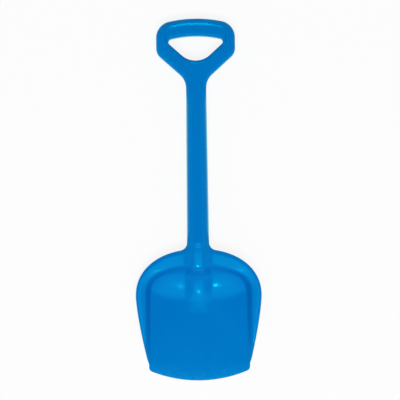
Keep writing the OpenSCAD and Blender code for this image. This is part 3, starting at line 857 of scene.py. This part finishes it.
# %% Hand hole edge
from_bow = HOLE_HUB - BOW_HUB + ARM_OUT * (HOLE_LOW_R - HOLE_CORNER_R)
on_arm = from_bow @ ARM_WAY
corner_run = math.sqrt(on_arm ** 2 - from_bow @ from_bow + (HOLE_TOP_R - HOLE_CORNER_R) ** 2) - on_arm
corner_hub = BOW_HUB + from_bow + ARM_WAY * corner_run
top_angle = angle_of(corner_hub - BOW_HUB)
low_arc = arc_points(HOLE_HUB, HOLE_LOW_R, -math.pi / 2, angle_of(ARM_OUT))
arm_edge = line_points(HOLE_HUB + ARM_OUT * HOLE_LOW_R, corner_hub + ARM_OUT * HOLE_CORNER_R, ARM_OUT)
corner_arc = arc_points(corner_hub, HOLE_CORNER_R, angle_of(ARM_OUT), top_angle)
top_arc = arc_points(BOW_HUB, HOLE_TOP_R, top_angle, math.pi / 2)
hole_edge, hole_away = joined([low_arc, arm_edge, corner_arc, top_arc])
hole_out = -hole_away
print("Hand hole: corner hub", corner_hub.round(2), "edge", len(hole_edge), "points")

# %% [markdown]
# The outline, from the end of the shaft round the right side to the top of the bow. The neck
# is a hollow curve, so there the direction out of the plastic points to the arc's hub.

# %% Grip outline
def arm_side(x, away):
    """Height of the arm's outer side over a place across the shaft."""
    return HOLE_HUB[1] + (x * math.cos(ARM_ANGLE) - away) / math.sin(ARM_ANGLE)


far = HOLE_LOW_R + ARM_W
neck_turn = (math.pi / 2 - (math.pi / 2 - ARM_ANGLE)) / 2
neck_corner = np.array([HALF_NECK, arm_side(HALF_NECK, far)])
neck_hub = np.array([HALF_NECK + NECK_R, neck_corner[1] - NECK_R * math.tan(neck_turn)])
low_corner = np.array([HALF_GRIP, arm_side(HALF_GRIP, far)])
low_turn = (math.pi / 2 - angle_of(ARM_WAY)) / 2
low_hub = np.array([HALF_GRIP - LOWER_R, low_corner[1] + LOWER_R * math.tan(low_turn)])
up_hub_x = HALF_GRIP - UPPER_R
up_hub = np.array([up_hub_x, BOW_HUB[1] + math.sqrt((BOW_R - UPPER_R) ** 2 - up_hub_x ** 2)])
neck_side = line_points(np.array([HALF_NECK, 0.0]), np.array([HALF_NECK, neck_hub[1]]), np.array([1.0, 0.0]))
neck_arc = arc_points(neck_hub, NECK_R, math.pi, math.pi - 2 * neck_turn)
low_arc_out = arc_points(low_hub, LOWER_R, angle_of(ARM_OUT), 0.0)
arm_line = line_points(neck_arc[0][-1], low_arc_out[0][0], ARM_OUT)
grip_side = line_points(low_arc_out[0][-1], np.array([HALF_GRIP, up_hub[1]]), np.array([1.0, 0.0]))
up_arc = arc_points(up_hub, UPPER_R, 0.0, angle_of(up_hub - BOW_HUB))
bow_arc = arc_points(BOW_HUB, BOW_R, angle_of(up_hub - BOW_HUB), math.pi / 2)
outline, outline_out = joined([neck_side, (neck_arc[0], -neck_arc[1]), arm_line, low_arc_out,
                               grip_side, up_arc, bow_arc])
print("Grip outline: neck hub", neck_hub.round(2), "side from", round(float(low_hub[1]), 2), "to",
      round(float(up_hub[1]), 2))

# %% [markdown]
# ## Matching the two outlines
#
# The band is skinned from stations. Each station joins a place on the hole's edge to a place on
# the outline. A few of them are listed: the middle of the yoke, the corner with the shaft, the
# cut across the arm, the groove where the bar meets the arm, and the middle of the bar. Between
# two of those, both lines are divided evenly.

# %% Stations of the grip
hole_run, outline_run = lengths(hole_edge), lengths(outline)
NEVER = 1e9


def outline_met(start, direction):
    """Length along the outline where a ray from a place meets it."""
    ahead = (outline - start) @ direction
    off = np.abs((outline - start) @ np.array([-direction[1], direction[0]]))
    return outline_run[np.argmin(np.where(ahead > 0.0, off, NEVER))]


GROOVE_X, HOLE_GROOVE, OUT_GROOVE, NECK_HOLE_RUN = 46.5, 0.9, 1.2, 7.5
low_end, arm_end = len(low_arc[0]), len(low_arc[0]) + len(arm_edge[0])
corner_side = hole_run[arm_end + int(np.argmax(corner_arc[0][:, 0]))]
from_groove = np.where(outline[:, 1] > up_hub[1], np.abs(outline[:, 0] - GROOVE_X), NEVER)
groove_out = outline_run[np.argmin(from_groove)]
corner_top = corner_arc[0][-1]
out_of_bow = (corner_top - BOW_HUB) / HOLE_TOP_R
hole_keys = [0.0, NECK_HOLE_RUN, hole_run[low_end - 1], hole_run[arm_end - 1], corner_side - HOLE_GROOVE,
             corner_side + HOLE_GROOVE, hole_run[arm_end + len(corner_arc[0]) - 1], hole_run[-1]]
outline_keys = [0.0, 0.0, outline_met(HOLE_HUB, ARM_OUT), outline_met(arm_edge[0][-1], ARM_OUT),
                groove_out - OUT_GROOVE, groove_out + OUT_GROOVE, outline_met(corner_top, out_of_bow),
                outline_run[-1]]
KEY_CELLS = [TOP_CELLS, 16, 24, 26, 5, 8, 24]
key_at = np.concatenate([[0], np.cumsum(KEY_CELLS)])
stations = np.arange(key_at[-1] + 1)
hole_at = np.interp(stations, key_at, hole_keys)
outline_at = np.interp(stations, key_at, outline_keys)


hole_places, hole_ways = (on_line(hole_at, hole_run, line) for line in (hole_edge, hole_out))
out_places, out_ways = (on_line(outline_at, outline_run, line) for line in (outline, outline_out))
hole_places[[0, -1], 0] = 0.0
out_places[-1, 0] = 0.0
hole_ways[[0, -1], 0] = 0.0
out_ways[-1, 0] = 0.0
print("Grip stations:", len(stations), "keys at", key_at.tolist())

# %% [markdown]
# The arms and the yoke are nearly flat in front, with round edges. The bar is a little higher
# and rounder, and each edge turns slowly into the next. Where the bar meets the arm, the
# photograph shows a short dark stroke beside the hand hole. We read it as a shallow groove.

# %% Edge shapes of the grip
BAR_LEAD = 10.0
to_bar = ease((outline_at - outline_keys[3] + BAR_LEAD) / (outline_keys[6] - outline_keys[3] + BAR_LEAD))
over_groove = ease((stations - key_at[4]) / KEY_CELLS[4])
out_round = mix(EDGE_ROUND, BAR_ROUND, to_bar)
hole_round = mix(HOLE_ROUND, BAR_HOLE_ROUND, over_groove)
front_w = mix(ARM_D, BAR_D, to_bar)


def on_grip(places, w):
    """Place on the grip, lying on the handle's leaning plane, from places and heights."""
    along_y = SHAFT_END_Y + places[..., 1] * math.cos(TILT) + w * math.sin(TILT)
    up_z = SHAFT_END_Z - places[..., 1] * math.sin(TILT) + w * math.cos(TILT)
    return np.stack([places[..., 0], along_y, up_z], -1)


def edge_side(places, ways, edge, top):
    """The side of the band: round edge, wall, foot, inner wall, inner round, for each station."""
    columns = []

    def add(inwards, w):
        columns.append(on_grip(places - ways * np.asarray(inwards)[..., None], w))

    turn = np.linspace(0.0, math.pi / 2, ROUND_CELLS + 1)
    for a in turn:
        add(edge * (1 - math.sin(a)), top - edge * (1 - math.cos(a)))
    zero = np.zeros_like(top)
    for k in range(1, SIDE_CELLS + 1):
        add(zero, mix(top - edge, FOOT_ROUND, k / SIDE_CELLS))
    for off, up in FOOT:
        add(zero + off, zero + up)
    inner = np.maximum(edge - WALL, 0.5)
    for k in range(INNER_SIDE_CELLS):
        add(zero + WALL, mix(FOOT_ROUND, top - WALL - inner, k / INNER_SIDE_CELLS))
    for a in np.linspace(math.pi / 2, 0.0, INNER_ROUND_CELLS + 1):
        add(WALL + inner * (1 - math.sin(a)), top - WALL - inner * (1 - math.cos(a)))
    return np.stack(columns, 1)


FRONT_BAND = 8
hole_side = edge_side(hole_places, hole_ways, hole_round, front_w)
out_side = edge_side(out_places, out_ways, out_round, front_w)
front_edge, ceiling_edge = out_side[:, 0].copy(), out_side[:, -1].copy()
cut_x = np.linspace(0.0, HALF_NECK - EDGE_ROUND, TOP_CELLS + 1)
cut_places = np.stack([cut_x, 0 * cut_x], -1)
front_edge[:TOP_CELLS + 1] = on_grip(cut_places, 0 * cut_x + ARM_D)
ceiling_edge[:TOP_CELLS + 1] = on_grip(cut_places, 0 * cut_x + ARM_D - WALL)
band = np.linspace(0.0, 1.0, FRONT_BAND + 1)[None, :, None]
front = mix(hole_side[:, 0][:, None], front_edge[:, None], band)
ceiling = mix(hole_side[:, -1][:, None], ceiling_edge[:, None], band)
print("Band:", front.shape[0], "stations,", front.shape[1], "points across its front")

# %% [markdown]
# A moulding's flat front is hardly ever quite flat. This one has a crown of 0.6 mm on the arms
# and less on the bar. The groove is a soft dent of half a millimetre across the front, and it
# fades out before both edges.

# %% Crown and groove
ARM_CROWN, BAR_CROWN = 0.6, 0.25
GROOVE_DEPTH, GROOVE_AT, GROOVE_W = 0.45, key_at[4] + 2.5, 1.8
crown_keys = [TOP_CELLS, key_at[2], key_at[3], key_at[6]]
crown = np.interp(stations, crown_keys, [0.0, ARM_CROWN, ARM_CROWN, BAR_CROWN])[:, None, None]
groove = bump_at(stations - GROOVE_AT, GROOVE_W)[:, None, None]
groove = groove * ease((band - 0.05) / 0.25) * ease((0.85 - band) / 0.35)
out_of_front = np.array([0.0, math.sin(TILT), math.cos(TILT)])
front = front + (4.0 * crown * band * (1.0 - band) - GROOVE_DEPTH * groove) * out_of_front
print("Groove: deepest at station", round(float(GROOVE_AT), 1), "of", len(stations))

# %% [markdown]
# Now the band is dealt out to the yoke, the arms and the bar, each closed by its cuts.

# %% Yoke, arms and bar
def station_ring(i):
    """Closed loop round the band's section at a station."""
    return np.concatenate([out_side[i], ceiling[i][-2:0:-1], hole_side[i][::-1], front[i][1:-1]])


def band_piece(piece, first, last, side, way):
    rows = slice(first, last + 1)
    moulding.grid(piece, front[rows] * way, flip=side < 0)
    moulding.grid(piece, ceiling[rows] * way, flip=side > 0)
    moulding.grid(piece, hole_side[rows] * way, flip=side > 0)
    outer_rows = slice(max(first, TOP_CELLS), last + 1)
    moulding.grid(piece, out_side[outer_rows] * way, flip=side < 0)


YOKE_END, BAR_START, BAR_MIDDLE = int(key_at[2]), int(key_at[4]), int(key_at[-1])
for side, hand, way in both_sides(3):
    arm = hand + "_arm"
    band_piece("yoke", 0, YOKE_END, side, way)
    band_piece(arm, YOKE_END, BAR_START, side, way)
    band_piece("grip_bar", BAR_START, BAR_MIDDLE, side, way)
    for station, ahead, behind in ((YOKE_END, "yoke", arm), (BAR_START, arm, "grip_bar")):
        moulding.face(ahead, station_ring(station) * way, flip=side < 0)
        moulding.face(behind, station_ring(station) * way, flip=side > 0)
moulding.face("yoke", whole_loop(shaft_rings[-1]), flip=True)
print("Grip: yoke to station", YOKE_END, "arms to", BAR_START, "bar to", BAR_MIDDLE)

# %% [markdown]
# ## The webs inside
#
# Seen from the back, thin cross webs stiffen the channels of the shaft, the arms and the bar.
# Each is a plate of two millimetres with a rounded free edge. Its sides and its far edge sink a
# little into the walls, so no gap shows there.

# %% Webs
WEB_HALF, WEB_LOW, WEB_SINK = 1.0, 3.0, 0.3
SHAFT_WEBS, ARM_WEBS, BAR_WEBS, BAR_REACH = 7, 2, 3, 43.0


def web(piece, free_edge, far_edge, forward):
    """Closed plate from its free edge to its far edge. Forward goes from its middle to its front."""
    width = np.linalg.norm(far_edge - free_edge, axis=1, keepdims=True)
    towards = (far_edge - free_edge) / np.maximum(0.01, width)
    lift = np.minimum(np.linalg.norm(forward), width / 2)
    rows = [far_edge + forward]
    for a in np.linspace(0.0, math.pi, 7):
        rows.append(free_edge + forward * math.cos(a) + towards * lift * (1 - math.sin(a)))
    rows = np.array(rows + [far_edge - forward])
    facing = bool(np.cross(rows[0, -1] - rows[0, 0], rows[1, 0] - rows[0, 0]) @ forward < 0.0)
    moulding.grid(piece, rows, flip=facing)
    moulding.grid(piece, rows[[-1, 0]], flip=facing)
    moulding.face(piece, rows[:, 0], flip=facing, cut=False)
    moulding.face(piece, rows[:, -1], flip=not facing, cut=False)


def half_web(way):
    """Half of a web's thickness along a direction of the grip's plane."""
    nought = np.zeros(1)
    return (on_grip(way[None], nought) - on_grip(0 * way[None], nought))[0] * WEB_HALF


across = np.linspace(-1.0, 1.0, 25)
centre = np.zeros(1)
along_shaft = (on_handle(centre, centre, 1.0) - on_handle(centre, centre, 0.0))[0]
along_shaft = along_shaft / np.linalg.norm(along_shaft) * WEB_HALF
for k in range(1, SHAFT_WEBS + 1):
    share = k / (SHAFT_WEBS + 1)
    inner = domed_section(share)[1]
    x = across * (float(np.interp(-WEB_LOW, -inner[:, 1], inner[:, 0])) + WEB_SINK)
    far_w = np.maximum(WEB_LOW + 0.2, np.interp(np.abs(x), inner[:, 0], inner[:, 1]) + WEB_SINK)
    web("shaft_webs", on_handle(x, 0 * x + WEB_LOW, share), on_handle(x, far_w, share), along_shaft)

arm_run = (low_corner - HOLE_HUB) @ ARM_WAY - LOWER_R * math.tan(ARM_ANGLE / 2)
reach = mix(HOLE_LOW_R + WALL - WEB_SINK, far - WALL + WEB_SINK, (across + 1) / 2)
for _, _, way in both_sides(3):
    for k in range(ARM_WEBS):
        places = HOLE_HUB + ARM_WAY * arm_run * (k + 0.5) / ARM_WEBS + reach[:, None] * ARM_OUT
        low, high = (on_grip(places, 0 * reach + w) * way for w in (WEB_LOW, ARM_D - WALL + WEB_SINK))
        web("arm_webs", low, high, half_web(ARM_WAY) * way)

off_bow = across * (BAR_D / 2 - WALL + WEB_SINK)
inner = np.where(off_bow > 0, BAR_ROUND, BAR_HOLE_ROUND) - WALL
off_side = np.maximum(0.0, inner - (BAR_D / 2 - WALL - np.abs(off_bow)))
dome_w = BAR_D - WALL - inner + np.sqrt(np.maximum(0.0, inner ** 2 - off_side ** 2)) + WEB_SINK
for k in range(1, BAR_WEBS + 1):
    angle = (k / (BAR_WEBS + 1) - 0.5) * 2 * math.asin(BAR_REACH / BOW_R)
    radial = np.array([math.sin(angle), math.cos(angle)])
    sideways = np.array([math.cos(angle), -math.sin(angle)])
    places = BOW_HUB + (BOW_R - BAR_D / 2 + off_bow)[:, None] * radial
    web("bar_webs", on_grip(places, 0 * off_bow + WEB_LOW), on_grip(places, dome_w), half_web(sideways))
print("Webs:", SHAFT_WEBS, "in the shaft,", 2 * ARM_WEBS, "in the arms,", BAR_WEBS, "in the bar")

# %% [markdown]
# ## Shader maths that reads like maths
#
# A wear mask or a bump is a small sum of noises. Written node by node it is hard to read, so
# this class wraps a socket: an expression on two of them adds a Math node. Any other node is
# made by one method of the tree, which comes next.

# %% Shader helper
def feed(slot, value):
    """A Value goes into a socket by a link, anything else as the socket's own value."""
    if isinstance(value, Value):
        value.tree.links.new(value.socket, slot)
    else:
        slot.default_value = value


class Value:
    """A socket of a material's node tree, with arithmetic."""

    def __init__(self, tree, socket):
        self.tree, self.socket = tree, socket

    def _math(self, operation, *inputs):
        node = self.tree.nodes.new("ShaderNodeMath")
        node.operation = operation
        for slot, value in zip(node.inputs, inputs):
            feed(slot, value)
        return Value(self.tree, node.outputs[0])

    def __add__(self, other):
        return self._math("ADD", self, other)

    def __radd__(self, other):
        return self._math("ADD", other, self)

    def __sub__(self, other):
        return self._math("SUBTRACT", self, other)

    def __rsub__(self, other):
        return self._math("SUBTRACT", other, self)

    def __mul__(self, other):
        return self._math("MULTIPLY", self, other)

    def __rmul__(self, other):
        return self._math("MULTIPLY", other, self)

    def clamped(self):
        result = self._math("MULTIPLY", self, 1.0)
        result.socket.node.use_clamp = True
        return result


# %% [markdown]
# `Nodes` fills a node tree. Its method `node` makes any node: it takes the type, the settings
# and the sockets, and the methods below it are short forms of the ones that come up often. A
# finish and the room's light are both node trees, so they share all this.

# %% Node trees
class Nodes:
    """An emptied node tree, with methods that fill it."""

    def __init__(self, tree):
        self.tree = tree
        self.tree.nodes.clear()

    def node(self, kind, settings=None, sockets=None, output=0):
        """Any node: settings first, then its sockets by name or number."""
        made = self.tree.nodes.new(kind)
        for name, value in (settings or {}).items():
            setattr(made, name, value)
        for name, value in (sockets or {}).items():
            feed(made.inputs[name], value)
        return Value(self.tree, made.outputs[output])

    def noise(self, place, scale, detail=2.0, roughness=0.5):
        return self.node("ShaderNodeTexNoise", sockets={"Vector": place, "Scale": scale, "Detail": detail,
                                                        "Roughness": roughness})

    def band(self, value, low, high, at_low=0.0, at_high=1.0):
        """One level below low and another above high, smooth between."""
        return self.node("ShaderNodeMapRange", {"interpolation_type": "SMOOTHSTEP"},
                         {"Value": value, "From Min": low, "From Max": high, "To Min": at_low,
                          "To Max": at_high})

    def colour_mix(self, factor, a, b):
        """A colour between two, by a factor."""
        return self.node("ShaderNodeMix", {"data_type": "RGBA"}, {0: factor, 6: a, 7: b}, output=2)

    def rays(self, *kinds):
        """For each kind of ray, 1 where such a ray looks, else 0."""
        return [self.node("ShaderNodeLightPath", output=f"Is {kind} Ray") for kind in kinds]


class Finish(Nodes):
    """A new material with a Principled shader."""

    def __init__(self, name):
        self.material = bpy.data.materials.new(name)
        self.material.use_nodes = True
        super().__init__(self.material.node_tree)
        self.shader = self.tree.nodes.new("ShaderNodeBsdfPrincipled")
        self.output = self.tree.nodes.new("ShaderNodeOutputMaterial")
        self.tree.links.new(self.shader.outputs[0], self.output.inputs[0])

    def constants(self, **levels):
        """Plain values for the shader's own sockets, which are named with underscores."""
        for name, level in levels.items():
            feed(self.shader.inputs[name.replace("_", " ")], level)


# %% [markdown]
# ## Blue polypropylene
#
# The shovel is one colour all over, a strong sky blue, glossy from the polished mould. What
# keeps it from looking like paint on a screen is small: a shade that drifts by a few per cent
# where the melt flowed, a surface that ripples like fine orange peel, hairline scratches where
# sand ran over the blade, and a cutting edge that is scuffed paler and duller.

# %% Plastic
plastic = Finish("blue_polypropylene")
place = plastic.node("ShaderNodeTexCoord", output="Object")
at_y = plastic.node("ShaderNodeSeparateXYZ", sockets={0: place}, output="Y")


def stretched(place, factors):
    """The same places, each axis stretched by its own factor."""
    return plastic.node("ShaderNodeVectorMath", {"operation": "MULTIPLY"}, {0: place, 1: factors})


drift = plastic.noise(place, 14.0, 3.0)
streaks = plastic.noise(stretched(place, (60.0, 9.0, 30.0)), 1.0, 4.0)
shade = (drift - 0.5) * 0.9 + (streaks - 0.5) * 0.5

from_tip = at_y + OVERALL / 2000.0
tip_wear = 1.0 - plastic.band(from_tip, 0.002, 0.030)
blade_wear = 1.0 - plastic.band(from_tip, 0.05, 0.17)
hairlines = plastic.noise(stretched(place, (1900.0, 45.0, 60.0)), 1.0, 2.0, 0.6)
scratch_patch = plastic.band(plastic.noise(place, 26.0, 2.0), 0.42, 0.62)
scratches = plastic.band(hairlines, 0.62, 0.72) * scratch_patch * (blade_wear * 0.7 + tip_wear * 0.3)
scuff = (tip_wear * plastic.band(plastic.noise(place, 160.0, 4.0, 0.65), 0.45, 0.7)).clamped()

# %% [markdown]
# The colour mixes a deeper and a paler blue by the drift, then a chalky one by the wear. The
# numbers are linear light, so they look darker here than the plastic does.

# %% Plastic colour
DEEP_BLUE = (0.0, 0.186, 0.585, 1.0)
PALE_BLUE = (0.0, 0.212, 0.635, 1.0)
CHALK_BLUE = (0.05, 0.320, 0.700, 1.0)
body_blue = plastic.colour_mix((shade + 0.5).clamped(), DEEP_BLUE, PALE_BLUE)
worn_blue = plastic.colour_mix((scuff * 0.16 + scratches * 0.14).clamped(), body_blue, CHALK_BLUE)
feed(plastic.shader.inputs["Base Color"], worn_blue)
print("Body colour from", DEEP_BLUE[:3], "to", PALE_BLUE[:3])

# %% [markdown]
# The gloss is that of a polished mould, a little duller where sand has worn it. The bump's
# heights are in metres, so they are millionths: a fine peel, a broader ripple, and the
# scratches cut in. In the photograph the blue stays pure in its highlights, with hardly any
# red. So the gloss is tinted a cool cyan.

# %% Plastic gloss
peel = plastic.noise(place, 420.0, 2.0, 0.5)
ripple = plastic.noise(place, 55.0, 1.0, 0.4)
roughness = 0.11 + (drift - 0.5) * 0.05 + (peel - 0.5) * 0.03 + scratches * 0.16 + scuff * 0.12
feed(plastic.shader.inputs["Roughness"], roughness.clamped())
height = peel * 0.000002 + ripple * 0.000015 - scratches * 0.00003 - scuff * 0.00002
bump = plastic.node("ShaderNodeBump", sockets={"Strength": 0.6, "Distance": 1.0, "Height": height})
feed(plastic.shader.inputs["Normal"], bump)
plastic.constants(IOR=1.49, Specular_Tint=(0.1, 0.85, 1.0, 1.0))
print("Plastic:", len(plastic.tree.nodes), "nodes")

# %% [markdown]
# ## Laying the pieces
#
# Each shell becomes an object of its own, in metres, with the shared normals on its corners.
# It rides on the shovel's one body and takes the place of its CAD node.

# %% Pieces
def laid(points):
    return (points - [0.0, OVERALL / 2, 0.0]) / 1000.0


welded = {name: moulding.weld(name) for name in moulding.patches}
corner_normals = shared_normals(welded)
pieces = {}
for name, (points, faces, cuts) in welded.items():
    mesh = bpy.data.meshes.new("moulded_" + name)
    mesh.from_pydata(laid(points).tolist(), [], faces)
    mesh.polygons.foreach_set("use_smooth", [True] * len(faces))
    mesh.normals_split_custom_set(corner_normals[name].tolist())
    mesh.materials.append(plastic.material)
    piece = bpy.data.objects.new("moulded_" + name, mesh)
    bpy.context.scene.collection.objects.link(piece)
    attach(piece, "root")
    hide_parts(name)
    pieces[name] = piece
print("Pieces:", len(pieces), "with", sum(len(p.data.polygons) for p in pieces.values()), "faces")

# %% [markdown]
# ## The studio
#
# The photograph is a cut-out on white, lit from the tip's side. So the floor is plain and pale.
# A light path node tells which kind of ray looks: the camera sees it glow white, the gloss
# sees it a cool white, and a small share of it is lit, so that the shovel still casts a soft
# shadow there. It lies 0.2 mm below the blade, so that the two never share a plane.

# %% Floor
WHITE, GLOSS_TINT = (1.0, 1.0, 1.0, 1.0), (0.22, 0.76, 0.88, 1.0)
GLOW_SHARE, FLOOR_HALF, FLOOR_Z = 0.88, 6.0, -0.0002
paper = Finish("studio_floor")
paper.constants(Base_Color=(0.92, 0.92, 0.92, 1.0), Roughness=0.9, Specular_IOR_Level=0.0)
by_camera, by_gloss, by_glass = paper.rays("Camera", "Glossy", "Transmission")
glow_colour = paper.colour_mix(by_gloss, WHITE, GLOSS_TINT)
glow = paper.node("ShaderNodeEmission", sockets={"Color": glow_colour, "Strength": 1.0})
lit = Value(paper.tree, paper.shader.outputs[0])
seen = (by_camera + by_gloss + by_glass).clamped()
surface = paper.node("ShaderNodeMixShader", sockets={0: seen * GLOW_SHARE, 1: lit, 2: glow})
feed(paper.output.inputs[0], surface)

floor_mesh = bpy.data.meshes.new("studio_floor")
floor_corners = [(a * FLOOR_HALF, b * FLOOR_HALF, FLOOR_Z) for a, b in ((-1, -1), (1, -1), (1, 1), (-1, 1))]
floor_mesh.from_pydata(floor_corners, [], [(0, 1, 2, 3)])
floor_mesh.materials.append(paper.material)
studio_floor = bpy.data.objects.new("studio_floor", floor_mesh)
bpy.context.scene.collection.objects.link(studio_floor)
print("Floor:", 2 * FLOOR_HALF, "m wide at", FLOOR_Z, "m")

# %% [markdown]
# The room is white to the camera. In the gloss it is a cool white at the horizon and nearly
# dark straight up, where the photographer's camera hung, and that dark patch is what the flat
# floor of the blade mirrors. To everything else the room is a plain grey fill.

# %% Room
FILL, HORIZON, OVERHEAD = 0.40, 0.80, 0.03
room = bpy.data.worlds.new("studio_room")
bpy.context.scene.world = room
room.use_nodes = True
air = Nodes(room.node_tree)
direction = air.node("ShaderNodeTexCoord", output="Generated")
up = air.node("ShaderNodeSeparateXYZ", sockets={0: direction}, output="Z")
gloss_level = air.band(up, 0.55, 0.97, HORIZON, OVERHEAD)
camera_ray, glossy_ray = air.rays("Camera", "Glossy")
level = camera_ray + (1.0 - camera_ray) * (glossy_ray * gloss_level + (1.0 - glossy_ray) * FILL)
room_colour = air.colour_mix(glossy_ray, WHITE, GLOSS_TINT)
backdrop = air.node("ShaderNodeBackground", sockets={0: room_colour, 1: level})
feed(air.tree.nodes.new("ShaderNodeOutputWorld").inputs[0], backdrop)
print("Room: gloss from", HORIZON, "at the horizon to", OVERHEAD, "overhead, fill", FILL)

# %% [markdown]
# One broad soft lamp stands beyond the tip, low enough to brighten what leans towards it: the
# sweep and the rear wall. It is left out of the gloss, where it would draw a wide stripe that
# the photograph doesn't have. What the gloss sees instead is three cool sheets, one inside the
# other, so that together they are brightest in the middle and fade outwards. The sweep, the
# ridge and the lip mirror them. Two small lamps make the little sparks on the scoop and the
# highlight on the bar.

# %% Lamps
COOL = (0.05, 0.93, 1.0)
GLOSS_SHEETS = [(0.6, 0.9, 2.3), (0.9, 1.25, 2.1), (1.15, 1.42, 1.7)]


def lamp(name, place, target, power, width, depth=None, glossy=True, diffuse=True, colour=(1.0, 1.0, 1.0)):
    """A flat lamp that the camera doesn't see, turned to its target."""
    light = bpy.data.lights.new(name, "AREA")
    light.energy, light.color = power, colour
    light.shape = "RECTANGLE"
    light.size, light.size_y = width, depth or width
    made = bpy.data.objects.new(name, light)
    bpy.context.scene.collection.objects.link(made)
    made.location = place
    made.rotation_euler = (Vector(target) - Vector(place)).to_track_quat("-Z", "Y").to_euler()
    made.visible_glossy, made.visible_diffuse = glossy, diffuse
    made.visible_camera = False


lamp("soft_key", (0.0, -1.8, 4.6), (0.0, 0.0, 0.0), 146.0, 2.8, 1.8, glossy=False)
for number, (width, depth, strength) in enumerate(GLOSS_SHEETS):
    over_tip = (0.0, -0.97, 2.1 + 0.02 * number)
    lamp(f"gloss_sheet_{number}", over_tip, (0.0, -0.13, 0.0), strength * width * depth, width, depth,
         diffuse=False, colour=COOL)
lamp("spark_front", (0.0, -0.98, 2.0), (0.0, -0.12, 0.0), 1.2, 0.02, diffuse=False, colour=COOL)
lamp("spark_bar", (-0.02, 1.05, 2.3), (0.0, 0.24, 0.03), 4.5, 0.3, 0.55, diffuse=False, colour=COOL)

# %% [markdown]
# ## Colours as written
#
# The view transform is set to Standard, so a colour renders about as it is written.

# %% Finish
bpy.context.scene.view_settings.view_transform = "Standard"
